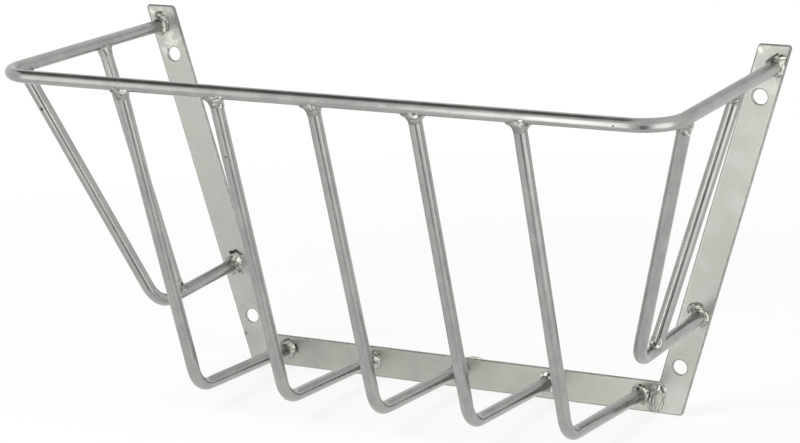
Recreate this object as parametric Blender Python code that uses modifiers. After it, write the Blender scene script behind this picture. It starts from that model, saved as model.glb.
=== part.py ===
"""Wall hay rack: a welded basket of round steel rods on a frame of flat steel strap.

Two leaning straps and a cross strap lie flat on the wall. A U-shaped rim rod stands out
from the straps, and bent bars hang from it and run back to the wall, so that hay dropped
in at the top is held in an open basket.

Metres, +Z up. The wall is the plane y = 0 and the basket stands out towards -Y. The origin
is the middle of the cross strap's back face.
"""

import itertools
import math

import bmesh
import bpy
from mathutils import Matrix, Vector

# Stock
ROD_DIAMETER = 0.010
STRAP_WIDTH = 0.025
STRAP_THICKNESS = 0.003
STRAP_EDGE_ROUND = 0.0005
FIT_GAP = 0.0003

# Wall frame: heights are above the cross strap's centre line, drops below the straps' tops
STRAP_LEAN = math.radians(16.5)
STRAP_TOP_HEIGHT = 0.2795
STRAP_FOOT_HALF_SPAN = 0.1805
STRAP_CORNER_RADIUS = 0.0025
SCREW_HOLE_DIAMETER = 0.0115
UPPER_HOLE_DROP = 0.0395
LOWER_HOLE_HEIGHT = 0.026

# Rim rod: depths are out from the front face of the straps
RIM_DROP = 0.0165
RIM_DEPTH = 0.219
RIM_BEND_RADIUS = 0.028
RIM_FLARE = 0.0065
ARM_EDGE_INSET = 0.008

# Front bars
FRONT_BAR_COUNT = 5
FRONT_BAR_MARGIN = 0.0115
FRONT_BAR_FAN = 0.004
FRONT_KNEE_DEPTH = 0.1375
FRONT_KNEE_HEIGHT = 0.0085
FRONT_FOOT_HEIGHT = 0.001

# Corner bars
CORNER_TOP_MARGIN = 0.004
CORNER_KNEE_DEPTH = 0.1165
CORNER_KNEE_HEIGHT = 0.0645
CORNER_FOOT_HEIGHT = 0.068
CORNER_FOOT_OFFSET = 0.004
CORNER_KNEE_INSET = 0.002

# Side bars
SIDE_TOP_DEPTH = 0.081
SIDE_FOOT_MARGIN = 0.0135

# Bends and ends of the bars
BAR_BEND_RADIUS = 0.024
SADDLE_DEPTH = 0.0015
TRIM_ALLOWANCE = 0.002

# Welds
COLLAR_LEG = 0.0028
SADDLE_WELD_TOE = 0.0055
SADDLE_WELD_TOP = 0.0005
SADDLE_WELD_FLARE = 0.0034
SADDLE_WELD_SIDE = 0.0011
SADDLE_WELD_DRIFT = 0.0010
SADDLE_WELD_LIP = 0.0007
SEAM_WELD_WIDTH = 0.012
SEAM_WELD_HEIGHT = 0.0016
SEAM_WELD_SHIFT = 0.003
BEAD_SINK = 0.0002
WELD_RIPPLE = 0.00025
WELD_PHASE_STEP = 0.8
COLLAR_RIPPLES = 7
SADDLE_RIPPLES = 6
SEAM_RIPPLES = 9

# Facets
ROD_BEVEL_RESOLUTION = 8
BEND_STEP = math.radians(10)
HOLE_FACETS = 32
WELD_FACETS = 24
SADDLE_WELD_RINGS = 5
COLLAR_SECTION_FACETS = 12
CUTTER_REACH = 0.012

ROD_RADIUS = ROD_DIAMETER / 2
RIM_HEIGHT = STRAP_TOP_HEIGHT - RIM_DROP
UPPER_HOLE_HEIGHT = STRAP_TOP_HEIGHT - UPPER_HOLE_DROP
STRAP_FACE_Y = -STRAP_THICKNESS
BEAD_CENTRE_Y = STRAP_FACE_Y - FIT_GAP + BEAD_SINK
STRAP_SLOPE = math.tan(STRAP_LEAN)
STRAP_HALF_WIDTH_LEVEL = STRAP_WIDTH / 2 / math.cos(STRAP_LEAN)

MATERIALS = {
    "strap_steel": ((0.60, 0.61, 0.58, 1), 0.42),
    "rod_steel": ((0.50, 0.51, 0.49, 1), 0.34),
    "weld_metal": ((0.46, 0.46, 0.43, 1), 0.45),
}


def clear_scene():
    for old in list(bpy.data.objects):
        bpy.data.objects.remove(old, do_unlink=True)


def new_collection(name):
    collection = bpy.data.collections.new(name)
    bpy.context.scene.collection.children.link(collection)
    return collection


def steel(name):
    colour, roughness = MATERIALS[name]
    material = bpy.data.materials.get(name) or bpy.data.materials.new(name)
    material.use_nodes = True
    shader = material.node_tree.nodes["Principled BSDF"]
    shader.inputs["Base Color"].default_value = colour
    shader.inputs["Roughness"].default_value = roughness
    shader.inputs["Metallic"].default_value = 1.0
    return material


# Paths and outlines

def corner_arc(before, corner, after, radius):
    """Points of the arc that rounds a corner, from one tangent point to the other."""
    back = (before - corner).normalized()
    ahead = (after - corner).normalized()
    turn = math.pi - back.angle(ahead)
    reach = radius * math.tan(turn / 2)
    centre = corner + (back + ahead).normalized() * (radius / math.cos(turn / 2))
    start = corner + back * reach - centre
    axis = back.cross(ahead).normalized()
    steps = max(2, round(turn / BEND_STEP))
    return [centre + Matrix.Rotation(-turn * i / steps, 3, axis) @ start for i in range(steps + 1)]


def bend_reach(before, corner, after, radius):
    """How far from its corner a bend ends."""
    turn = math.pi - (before - corner).angle(after - corner)
    return radius * math.tan(turn / 2)


def bent_path(corners, radius):
    """A rod's centre line: straight runs joined by bends of one radius."""
    points = [corners[0]]
    for before, corner, after in zip(corners, corners[1:], corners[2:]):
        points += corner_arc(before, corner, after, radius)
    return points + [corners[-1]]


def extended(points, reach):
    """The same path with both ends run on by a reach."""
    first = points[0] + (points[0] - points[1]).normalized() * reach
    last = points[-1] + (points[-1] - points[-2]).normalized() * reach
    return [first] + points[1:-1] + [last]


def rounded_outline(corners, radii):
    """A closed outline whose corners are rounded, or sharp where the radius is 0."""
    points = []
    for i, (corner, radius) in enumerate(zip(corners, radii)):
        after = corners[(i + 1) % len(corners)]
        points += corner_arc(corners[i - 1], corner, after, radius) if radius else [corner]
    return points


# Solids

def place(thing, collection, parent=None):
    for linked in list(thing.users_collection):
        linked.objects.unlink(thing)
    collection.objects.link(thing)
    thing.parent = parent


def mesh_from_curve(curve_object):
    """A curve's solid as a mesh object, with its loose caps welded on."""
    depsgraph = bpy.context.evaluated_depsgraph_get()
    mesh = bpy.data.meshes.new_from_object(curve_object.evaluated_get(depsgraph))
    work = bmesh.new()
    work.from_mesh(mesh)
    bmesh.ops.remove_doubles(work, verts=work.verts, dist=0.00001)
    work.to_mesh(mesh)
    work.free()
    solid = bpy.data.objects.new(curve_object.name, mesh)
    solid.matrix_world = curve_object.matrix_world
    name = curve_object.name
    bpy.data.objects.remove(curve_object, do_unlink=True)
    solid.name = name
    mesh.name = name
    return solid


def curve_object(name, points, cyclic, location, rotation=(0, 0, 0)):
    curve = bpy.data.curves.new(name, "CURVE")
    spline = curve.splines.new("POLY")
    spline.points.add(len(points) - 1)
    for target, point in zip(spline.points, points):
        target.co = (*point, 1)
    spline.use_cyclic_u = cyclic
    thing = bpy.data.objects.new(name, curve)
    thing.location = location
    thing.rotation_euler = rotation
    bpy.context.scene.collection.objects.link(thing)
    bpy.context.view_layer.update()
    return thing


def rod_solid(name, points, radius):
    """A round rod along a path, with its origin at the path's last point."""
    origin = points[-1]
    thing = curve_object(name, [p - origin for p in points], False, origin)
    thing.data.dimensions = "3D"
    thing.data.bevel_depth = radius
    thing.data.bevel_resolution = ROD_BEVEL_RESOLUTION
    thing.data.use_fill_caps = True
    return mesh_from_curve(thing)


def strap_solid(name, outline):
    """Flat strap with a given outline in x and height, lying on the wall."""
    middle = (0, STRAP_FACE_Y / 2, 0)
    thing = curve_object(name, outline, True, middle, (math.pi / 2, 0, 0))
    thing.data.dimensions = "2D"
    thing.data.fill_mode = "BOTH"
    thing.data.extrude = STRAP_THICKNESS / 2
    solid = mesh_from_curve(thing)
    bevel = solid.modifiers.new("rolled_edges", "BEVEL")
    bevel.width = STRAP_EDGE_ROUND
    bevel.segments = 2
    bevel.limit_method = "ANGLE"
    bevel.angle_limit = math.radians(60)
    return solid


def cut(solid, *tools):
    for tool in tools:
        modifier = solid.modifiers.new(tool.name, "BOOLEAN")
        modifier.operation = "DIFFERENCE"
        modifier.solver = "EXACT"
        modifier.object = tool


def cylinder_along_y(name, x, z, radius):
    """A cutter that runs through the straps from front to back."""
    bpy.ops.mesh.primitive_cylinder_add(
        vertices=HOLE_FACETS, radius=radius, depth=2 * CUTTER_REACH,
        location=(x, STRAP_FACE_Y / 2, z), rotation=(math.pi / 2, 0, 0))
    tool = bpy.context.object
    tool.name = name
    return tool


def finish(solid, collection, material, root):
    mesh = solid.data
    mesh.materials.clear()
    mesh.materials.append(material)
    mesh.shade_smooth()
    mesh.set_sharp_from_angle(angle=math.radians(35))
    place(solid, collection, root)
    return solid


def make_cutter(tool, collection):
    tool.hide_render = True
    tool.display_type = "WIRE"
    place(tool, collection)
    return tool


# Where things are

def strap_centre_x(height):
    return STRAP_FOOT_HALF_SPAN + height * STRAP_SLOPE


def strap_inner_x(height):
    return strap_centre_x(height) - STRAP_HALF_WIDTH_LEVEL


def strap_outer_x(height):
    return strap_centre_x(height) + STRAP_HALF_WIDTH_LEVEL


def at_depth(x, depth, height):
    """A point a given depth out from the front face of the straps."""
    return Vector((x, STRAP_FACE_Y - depth, height))


def rim_corners():
    """Left foot, left corner, right corner and right foot of the rim's centre line."""
    foot_x = strap_outer_x(RIM_HEIGHT) - ARM_EDGE_INSET
    corner_x = foot_x + RIM_FLARE
    return [
        at_depth(-foot_x, 0, RIM_HEIGHT),
        at_depth(-corner_x, RIM_DEPTH, RIM_HEIGHT),
        at_depth(corner_x, RIM_DEPTH, RIM_HEIGHT),
        at_depth(foot_x, 0, RIM_HEIGHT),
    ]


def arm_point(side, depth):
    """The point on the centre line of one arm of the rim, at a depth."""
    corners = rim_corners()
    foot, corner = (corners[3], corners[2]) if side > 0 else (corners[0], corners[1])
    return foot.lerp(corner, depth / RIM_DEPTH)


def front_bar_corners(number):
    """Top, knee and foot of a front bar's centre line, numbered from the left."""
    foot_half_span = strap_inner_x(FRONT_FOOT_HEIGHT) - FRONT_BAR_MARGIN
    share = 2 * (number - 1) / (FRONT_BAR_COUNT - 1) - 1
    foot_x = share * foot_half_span
    top_x = share * (foot_half_span + FRONT_BAR_FAN)
    return [
        at_depth(top_x, RIM_DEPTH, RIM_HEIGHT),
        at_depth(foot_x, FRONT_KNEE_DEPTH, FRONT_KNEE_HEIGHT),
        at_depth(foot_x, 0, FRONT_FOOT_HEIGHT),
    ]


def corner_bar_corners(side):
    """Top, knee and foot of a corner bar's centre line."""
    rim = rim_corners()
    bend_end = bend_reach(rim[1], rim[2], rim[3], RIM_BEND_RADIUS)
    foot_x = strap_centre_x(CORNER_FOOT_HEIGHT) + CORNER_FOOT_OFFSET
    return [
        arm_point(side, RIM_DEPTH - bend_end - CORNER_TOP_MARGIN),
        at_depth(side * (foot_x - CORNER_KNEE_INSET), CORNER_KNEE_DEPTH, CORNER_KNEE_HEIGHT),
        at_depth(side * foot_x, 0, CORNER_FOOT_HEIGHT),
    ]


def side_bar_ends(side):
    """Top, on the rim's arm, and foot, on the corner bar's lower run."""
    top, knee, foot = corner_bar_corners(side)
    run = foot - knee
    reach = bend_reach(top, knee, foot, BAR_BEND_RADIUS) + SIDE_FOOT_MARGIN
    return [arm_point(side, SIDE_TOP_DEPTH), knee + run.normalized() * reach]


# Welds

def ripple(angle, count, phase):
    return WELD_RIPPLE * math.sin(count * angle + phase)


def collar_weld(name, foot, phase):
    """The bead round a rod's end on a strap: a rippled ring, half of it behind the face."""
    bpy.ops.mesh.primitive_torus_add(
        major_radius=ROD_RADIUS, minor_radius=COLLAR_LEG,
        major_segments=WELD_FACETS, minor_segments=COLLAR_SECTION_FACETS,
        location=(foot.x, BEAD_CENTRE_Y, foot.z), rotation=(math.pi / 2, 0, 0))
    bead = bpy.context.object
    bead.name = name
    for vertex in bead.data.vertices:
        angle = math.atan2(vertex.co.y, vertex.co.x)
        spine = Vector((math.cos(angle), math.sin(angle), 0)) * ROD_RADIUS
        section = vertex.co - spine
        vertex.co = spine + section * (1 + ripple(angle, COLLAR_RIPPLES, phase) / COLLAR_LEG)
    return bead


def saddle_weld(name, joint, bar_direction, carrier_direction, phase):
    """The flared fillet where a bar's end meets the side of another rod.

    Its sections run up the bar, from a toe that is little wider than the bar to a long
    oval that reaches along the other rod.
    """
    up = bar_direction.normalized()
    along = carrier_direction.normalized()
    square = (along - up * along.dot(up)).normalized()
    across = up.cross(square)
    toe = ROD_RADIUS + SADDLE_WELD_TOE
    work = bmesh.new()
    rings = []
    for i in range(SADDLE_WELD_RINGS):
        t = i / (SADDLE_WELD_RINGS - 1)
        centre = joint - up * (toe + (SADDLE_WELD_TOP - toe) * t)
        long_axis = square.lerp(along, t).normalized()
        centre = centre - long_axis * SADDLE_WELD_DRIFT * t
        half_long = ROD_RADIUS + SADDLE_WELD_LIP + SADDLE_WELD_FLARE * t ** 2
        half_wide = ROD_RADIUS + SADDLE_WELD_LIP + (SADDLE_WELD_SIDE - SADDLE_WELD_LIP) * t
        ring = []
        for k in range(WELD_FACETS):
            angle = math.tau * k / WELD_FACETS
            swell = 1 + t * ripple(angle, SADDLE_RIPPLES, phase + 2 * t) / ROD_RADIUS
            offset = long_axis * half_long * math.cos(angle) + across * half_wide * math.sin(angle)
            ring.append(work.verts.new(centre + offset * swell - joint))
        rings.append(ring)
    for low, high in zip(rings, rings[1:]):
        for k in range(WELD_FACETS):
            n = (k + 1) % WELD_FACETS
            work.faces.new((low[k], low[n], high[n], high[k]))
    work.faces.new(reversed(rings[0]))
    work.faces.new(rings[-1])
    bmesh.ops.recalc_face_normals(work, faces=work.faces)
    mesh = bpy.data.meshes.new(name)
    work.to_mesh(mesh)
    work.free()
    bead = bpy.data.objects.new(name, mesh)
    bead.location = joint
    return bead


def seam_weld(name, side, phase):
    """The broad low bead over the seam between the cross strap and a side strap."""
    bpy.ops.mesh.primitive_uv_sphere_add(
        segments=WELD_FACETS, ring_count=COLLAR_SECTION_FACETS, radius=1,
        location=(side * (strap_inner_x(0) + SEAM_WELD_SHIFT), BEAD_CENTRE_Y, 0),
        rotation=(0, side * STRAP_LEAN, 0))
    bead = bpy.context.object
    bead.name = name
    half_length = STRAP_WIDTH / 2 - STRAP_EDGE_ROUND
    for vertex in bead.data.vertices:
        wave = 1 + ripple(vertex.co.z, SEAM_RIPPLES, phase) / SEAM_WELD_HEIGHT
        vertex.co.x *= SEAM_WELD_WIDTH / 2
        vertex.co.y *= SEAM_WELD_HEIGHT * wave
        vertex.co.z *= half_length
    return bead


# The parts

def build():
    clear_scene()
    parts = new_collection("hay_rack")
    cutters = new_collection("cutters")
    root = bpy.data.objects.new("hay_rack_root", None)
    place(root, parts)
    strap_metal = steel("strap_steel")
    rod_metal = steel("rod_steel")
    weld_metal = steel("weld_metal")
    phases = itertools.count(0, WELD_PHASE_STEP)

    def add(solid, metal, *tools):
        cut(solid, *tools)
        return finish(solid, parts, metal, root)

    def clearance(name, points):
        tool = rod_solid(name, extended(points, CUTTER_REACH), ROD_RADIUS + FIT_GAP)
        return make_cutter(tool, cutters)

    # Everything behind the front face of the straps
    face_y = STRAP_FACE_Y - FIT_GAP
    bpy.ops.mesh.primitive_cube_add(size=1, location=(0, face_y + CUTTER_REACH, RIM_HEIGHT / 2))
    behind_face = bpy.context.object
    behind_face.name = "behind_strap_face"
    behind_face.scale = (4 * RIM_HEIGHT, 2 * CUTTER_REACH, 3 * RIM_HEIGHT)
    make_cutter(behind_face, cutters)

    # Straps
    foot = -STRAP_WIDTH / 2
    top = STRAP_TOP_HEIGHT
    for side, hand in ((-1, "left"), (1, "right")):
        outline = rounded_outline([
            Vector((side * strap_inner_x(foot), foot, 0)),
            Vector((side * strap_outer_x(foot), foot, 0)),
            Vector((side * strap_outer_x(top), top, 0)),
            Vector((side * strap_inner_x(top), top, 0)),
        ], (0, STRAP_CORNER_RADIUS, STRAP_CORNER_RADIUS, STRAP_CORNER_RADIUS))
        holes = []
        for level, height in (("upper", UPPER_HOLE_HEIGHT), ("lower", LOWER_HOLE_HEIGHT)):
            x = side * strap_centre_x(height)
            name = f"{hand}_{level}_screw_hole"
            hole = cylinder_along_y(name, x, height, SCREW_HOLE_DIAMETER / 2)
            holes.append(make_cutter(hole, cutters))
        add(strap_solid(f"{hand}_mounting_strap", outline), strap_metal, *holes)

    gap = FIT_GAP / math.cos(STRAP_LEAN)
    low_x = strap_inner_x(foot) - gap
    high_x = strap_inner_x(-foot) - gap
    cross_outline = [Vector((-low_x, foot, 0)), Vector((low_x, foot, 0)),
                     Vector((high_x, -foot, 0)), Vector((-high_x, -foot, 0))]
    add(strap_solid("cross_strap", cross_outline), strap_metal)

    # Rim
    rim = rim_corners()
    rim_path = bent_path(rim, RIM_BEND_RADIUS)
    rim_clearance = clearance("rim_clearance", rim_path)
    rim_rod = rod_solid("rim_rod", extended(rim_path, TRIM_ALLOWANCE), ROD_RADIUS)
    add(rim_rod, rod_metal, behind_face)
    for hand, foot_point in (("left", rim[0]), ("right", rim[3])):
        bead = collar_weld(f"weld_rim_to_{hand}_strap", foot_point, next(phases))
        add(bead, weld_metal, behind_face, rim_clearance)

    # A bar starts just inside the rod that carries it and is ground to a saddle there
    seat = ROD_RADIUS + FIT_GAP - SADDLE_DEPTH

    def bar_path(corners):
        start = corners[0] + (corners[1] - corners[0]).normalized() * seat
        return bent_path([start] + corners[1:], BAR_BEND_RADIUS)

    def foot_on_wall(path):
        return path[:-1] + [path[-1] + (path[-1] - path[-2]).normalized() * TRIM_ALLOWANCE]

    # Front bars
    end_collars = {}
    for number in range(1, FRONT_BAR_COUNT + 1):
        corners = front_bar_corners(number)
        path = bar_path(corners)
        name = f"front_bar_{number}"
        bar_clearance = clearance(f"{name}_clearance", path)
        add(rod_solid(name, foot_on_wall(path), ROD_RADIUS), rod_metal, rim_clearance, behind_face)
        bead = saddle_weld(f"weld_{name}_to_rim", corners[0], corners[0] - corners[1],
                           rim[2] - rim[1], next(phases))
        add(bead, weld_metal, rim_clearance, bar_clearance)
        bead = collar_weld(f"weld_{name}_to_cross_strap", corners[2], next(phases))
        add(bead, weld_metal, behind_face, bar_clearance)
        if number in (1, FRONT_BAR_COUNT):
            radius = ROD_RADIUS + COLLAR_LEG + WELD_RIPPLE + FIT_GAP
            collar_room = cylinder_along_y(f"{name}_collar_room", corners[2].x, corners[2].z, radius)
            end_collars[number] = make_cutter(collar_room, cutters)

    # Corner bars and side bars
    for side, hand in ((-1, "left"), (1, "right")):
        corners = corner_bar_corners(side)
        path = bar_path(corners)
        name = f"{hand}_corner_bar"
        corner_clearance = clearance(f"{name}_clearance", path)
        add(rod_solid(name, foot_on_wall(path), ROD_RADIUS), rod_metal, rim_clearance, behind_face)
        arm = arm_point(side, 0) - arm_point(side, RIM_DEPTH)
        bead = saddle_weld(f"weld_{name}_to_rim", corners[0], corners[0] - corners[1], arm,
                           next(phases))
        add(bead, weld_metal, rim_clearance, corner_clearance)
        bead = collar_weld(f"weld_{name}_to_strap", corners[2], next(phases))
        add(bead, weld_metal, behind_face, corner_clearance)

        side_top, side_foot = side_bar_ends(side)
        down = (side_foot - side_top).normalized()
        path = [side_top + down * seat, side_foot - down * seat]
        name = f"{hand}_side_bar"
        side_clearance = clearance(f"{name}_clearance", path)
        add(rod_solid(name, path, ROD_RADIUS), rod_metal, rim_clearance, corner_clearance)
        bead = saddle_weld(f"weld_{name}_to_rim", side_top, -down, arm, next(phases))
        add(bead, weld_metal, rim_clearance, side_clearance)
        run = corners[2] - corners[1]
        bead = saddle_weld(f"weld_{name}_to_corner_bar", side_foot, down, run, next(phases))
        add(bead, weld_metal, corner_clearance, side_clearance)

        end_bar = 1 if side < 0 else FRONT_BAR_COUNT
        bead = seam_weld(f"weld_cross_strap_to_{hand}_strap", side, next(phases))
        add(bead, weld_metal, behind_face, end_collars[end_bar])


build()
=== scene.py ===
"""Wall hay rack in satin steel, dressed as an add-on would build it.

A basket of round rods is welded to two leaning straps and a cross strap. Each operator
lays its pieces over the frame of the part, in metres, +Z up. The wall is the plane y = 0,
the basket stands out towards -Y, and the origin is the middle of the cross strap's back.
"""

import math
import random

import bmesh
import bpy
from bpy.props import FloatProperty, FloatVectorProperty, IntProperty, PointerProperty
from mathutils import Matrix, Vector, noise


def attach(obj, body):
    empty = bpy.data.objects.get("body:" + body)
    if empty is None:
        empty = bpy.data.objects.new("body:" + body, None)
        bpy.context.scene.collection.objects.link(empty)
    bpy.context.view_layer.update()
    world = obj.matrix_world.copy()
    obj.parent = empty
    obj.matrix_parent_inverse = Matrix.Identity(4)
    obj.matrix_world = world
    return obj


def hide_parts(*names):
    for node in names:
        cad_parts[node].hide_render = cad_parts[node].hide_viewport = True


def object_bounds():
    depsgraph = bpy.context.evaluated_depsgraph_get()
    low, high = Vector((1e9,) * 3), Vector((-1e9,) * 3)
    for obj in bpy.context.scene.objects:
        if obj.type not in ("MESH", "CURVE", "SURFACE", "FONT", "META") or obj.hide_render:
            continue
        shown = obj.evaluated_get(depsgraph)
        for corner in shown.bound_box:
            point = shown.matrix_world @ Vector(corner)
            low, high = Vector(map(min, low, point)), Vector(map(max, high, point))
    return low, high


bl_info = {
    "name": "Wall Hay Rack",
    "version": (1, 0, 0),
    "blender": (4, 5, 0),
    "location": "View3D > Sidebar > Hay Rack",
    "description": "Builds a welded wall hay rack in satin steel and the stage it stands on",
    "category": "Add Mesh",
}

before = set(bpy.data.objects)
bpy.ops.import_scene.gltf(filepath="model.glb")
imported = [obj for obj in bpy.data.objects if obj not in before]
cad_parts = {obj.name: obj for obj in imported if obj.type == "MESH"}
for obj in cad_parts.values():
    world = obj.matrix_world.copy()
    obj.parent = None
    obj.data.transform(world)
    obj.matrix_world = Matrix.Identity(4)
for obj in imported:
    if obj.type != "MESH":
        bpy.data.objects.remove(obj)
CAD_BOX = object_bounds()

BODY = "root"

# Where the rods and straps run, as in the part. Heights are above the cross strap's middle,
# drops are below the straps' tops and depths are out from the straps' front faces.
STRAP_LEAN = math.radians(16.5)
STRAP_TOP_HEIGHT = 0.2795
STRAP_FOOT_HALF_SPAN = 0.1805
UPPER_HOLE_DROP = 0.0395
UPPER_HOLE_HEIGHT = STRAP_TOP_HEIGHT - UPPER_HOLE_DROP
LOWER_HOLE_HEIGHT = 0.026
RIM_DROP = 0.0165
RIM_HEIGHT = STRAP_TOP_HEIGHT - RIM_DROP
RIM_DEPTH = 0.219
RIM_FLARE = 0.0065
ARM_EDGE_INSET = 0.008
FRONT_BAR_COUNT = 5
FRONT_BAR_MARGIN = 0.0115
FRONT_BAR_FAN = 0.004
FRONT_KNEE_DEPTH = 0.1375
FRONT_KNEE_HEIGHT = 0.0085
FRONT_FOOT_HEIGHT = 0.001
CORNER_TOP_MARGIN = 0.004
CORNER_KNEE_DEPTH = 0.1165
CORNER_KNEE_HEIGHT = 0.0645
CORNER_FOOT_HEIGHT = 0.068
CORNER_FOOT_OFFSET = 0.004
CORNER_KNEE_INSET = 0.002
SIDE_TOP_DEPTH = 0.081
SIDE_FOOT_MARGIN = 0.0135
FIT_GAP = 0.0003
STRAP_SLOPE = math.tan(STRAP_LEAN)
SIDES = ((-1, "left"), (1, "right"))
FRONT_BARS = range(1, FRONT_BAR_COUNT + 1)
OUTWARD = Vector((0, -1, 0))

# What is only dressed: how far a rod's end runs on into a strap and into a rod, how far a
# seam's bead lies out from the side strap's inner edge, the radius of the corners at the seams
# and how much rounder the left strap's inner top corner is than the others
END_IN_STRAP = 0.001
END_IN_ROD = 0.0006
SEAM_SHIFT = 0.002
SEAM_CORNER = 0.0005
LEFT_TOP_ROUNDER = 1.3

# Where on one long stock the rods are taken from, in metres, so that no two of them look alike
FRONT_STOCK_STEP = 1.3
CORNER_STOCK = 9.1
CORNER_STOCK_STEP = 1.7
SIDE_STOCK = 14.3
SIDE_STOCK_STEP = 1.9

# How finely the rods, straps and beads are cut
BEND_STEP = math.radians(4)
STRAIGHT_STEP = 0.006
CORNER_STEP = math.radians(15)
LEAST_CORNER = 0.0002
LEAST_BEND = 0.01
EDGE_STEPS = 5
HOLE_FACETS = 48
BEAD_FACETS = 36
SADDLE_RINGS = 14
SEAM_DABS = 33

# How the stock departs from a plain shape: waves of a rod's skin to a metre and their depth,
# the share that a bend flattens it by, and how the edge share fades in from a strap's edges
SKIN_WAVES = 60
SKIN_WAVE_DEPTH = 0.00004
BEND_FLATTENING = 0.03
EDGE_FADE = ((0.0030, 0.0), (0.0018, 0.35))


class HayRackSizes(bpy.types.PropertyGroup):
    """Sizes of the stock, its bends and its holes."""

    rod_diameter: FloatProperty(
        name="Rod diameter", description="Thickness of the round rod",
        default=0.010, min=0.004, unit="LENGTH")
    rim_bend_radius: FloatProperty(
        name="Rim bend radius", description="Radius of the rim's two corners",
        default=0.028, min=0.01, unit="LENGTH")
    bar_bend_radius: FloatProperty(
        name="Bar bend radius", description="Radius of the bars' knees",
        default=0.024, min=0.01, unit="LENGTH")
    strap_width: FloatProperty(
        name="Strap width", description="Width of the flat straps",
        default=0.025, min=0.01, unit="LENGTH")
    strap_thickness: FloatProperty(
        name="Strap thickness", description="Thickness of the flat straps",
        default=0.003, min=0.001, unit="LENGTH")
    strap_edge_round: FloatProperty(
        name="Strap edge radius", description="Radius of the straps' rolled edges",
        default=0.0009, min=0.0001, unit="LENGTH")
    strap_corner_radius: FloatProperty(
        name="Strap corner radius", description="Radius of the straps' cut corners",
        default=0.0025, min=0.0005, unit="LENGTH")
    screw_hole_diameter: FloatProperty(
        name="Screw hole", description="Diameter of the screw holes",
        default=0.0115, min=0.003, unit="LENGTH")
    rod_sides: IntProperty(
        name="Rod sides", description="Facets round each rod", default=40, min=12)


class HayRackWelds(bpy.types.PropertyGroup):
    """Sizes of the weld beads."""

    collar_leg: FloatProperty(
        name="Collar leg", description="How far a collar reaches out from its rod",
        default=0.0027, min=0.0005, unit="LENGTH")
    saddle_toe: FloatProperty(
        name="Saddle toe", description="How far a saddle weld runs down its bar",
        default=0.0062, min=0.001, unit="LENGTH")
    saddle_flare: FloatProperty(
        name="Saddle flare", description="How far a saddle weld reaches along its rod",
        default=0.0058, min=0.001, unit="LENGTH")
    seam_width: FloatProperty(
        name="Seam width", description="Width of the bead over each strap seam",
        default=0.0125, min=0.002, unit="LENGTH")
    collar_crinkle: FloatProperty(
        name="Collar crinkle", description="Depth of the crinkles in a collar or seam",
        default=0.00015, min=0.0, unit="LENGTH")
    saddle_crinkle: FloatProperty(
        name="Saddle crinkle", description="Depth of the crinkles in a saddle weld",
        default=0.00010, min=0.0, unit="LENGTH")
    grain: FloatProperty(
        name="Bead grain", description="Cell size of the beads' meshes",
        default=0.00028, min=0.0001, unit="LENGTH")


class HayRackFinish(bpy.types.PropertyGroup):
    """Colours and polish of the steel."""

    rod_colour: FloatVectorProperty(
        name="Rod steel", description="Colour of the rods", subtype="COLOR",
        size=3, default=(0.342, 0.352, 0.330))
    strap_colour: FloatVectorProperty(
        name="Strap steel", description="Colour of the side straps", subtype="COLOR",
        size=3, default=(0.395, 0.402, 0.374))
    # the cross strap's colour is the side straps' made darker, painted shade for the strap that lies
    # lowest
    cross_colour: FloatVectorProperty(
        name="Cross strap steel", description="Colour of the cross strap", subtype="COLOR",
        size=3, default=(0.355, 0.366, 0.330))
    weld_colour: FloatVectorProperty(
        name="Weld metal", description="Colour of the weld beads", subtype="COLOR",
        size=3, default=(0.350, 0.356, 0.328))
    rod_roughness: FloatProperty(
        name="Rod roughness", description="How satin the rods are",
        default=0.235, min=0.0, max=1.0, subtype="FACTOR")
    strap_roughness: FloatProperty(
        name="Strap roughness", description="How satin the straps are",
        default=0.36, min=0.0, max=1.0, subtype="FACTOR")
    weld_roughness: FloatProperty(
        name="Weld roughness", description="How satin the beads are",
        default=0.24, min=0.0, max=1.0, subtype="FACTOR")


class HayRackStage(bpy.types.PropertyGroup):
    """The camera, the floor and the light."""

    camera_place: FloatVectorProperty(
        name="Camera place", description="Where the camera stands", subtype="XYZ",
        unit="LENGTH", size=3, default=(0.9553, -1.8948, 0.6581))
    camera_turn: FloatVectorProperty(
        name="Camera turn", description="The camera's yaw, pitch and roll", subtype="EULER",
        unit="ROTATION", size=3, default=(0.4878, -0.2468, -0.0282))
    lens: FloatProperty(
        name="Lens", description="Focal length on a 36 mm frame, in millimetres",
        default=125.96, min=10.0)
    floor_drop: FloatProperty(
        name="Floor drop", description="How far the floor lies below the rack",
        default=0.0006, min=0.0, unit="LENGTH")
    light_level: FloatProperty(
        name="Light level", description="Strength of the surrounding light",
        default=0.55, min=0.0)


# Paths and outlines

def sizes_and_welds():
    """The sizes of the stock and those of the welds, as the scene holds them."""
    scene = bpy.context.scene
    return scene.hay_rack_sizes, scene.hay_rack_welds


def strap_half_width_level():
    """Half of a side strap's width, measured level across its lean."""
    return bpy.context.scene.hay_rack_sizes.strap_width / 2 / math.cos(STRAP_LEAN)


def strap_centre_x(height):
    """How far from the middle a side strap's centre line lies at a height."""
    return STRAP_FOOT_HALF_SPAN + height * STRAP_SLOPE


def strap_inner_x(height):
    """How far from the middle a side strap's inner edge lies at a height."""
    return strap_centre_x(height) - strap_half_width_level()


def strap_outer_x(height):
    """How far from the middle a side strap's outer edge lies at a height."""
    return strap_centre_x(height) + strap_half_width_level()


def at_depth(x, depth, height):
    """A point a given depth out from the front face of the straps."""
    return Vector((x, -bpy.context.scene.hay_rack_sizes.strap_thickness - depth, height))


def ray(angle):
    """A way along the wall, turned from +X towards +Z by an angle."""
    return Vector((math.cos(angle), 0, math.sin(angle)))


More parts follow.
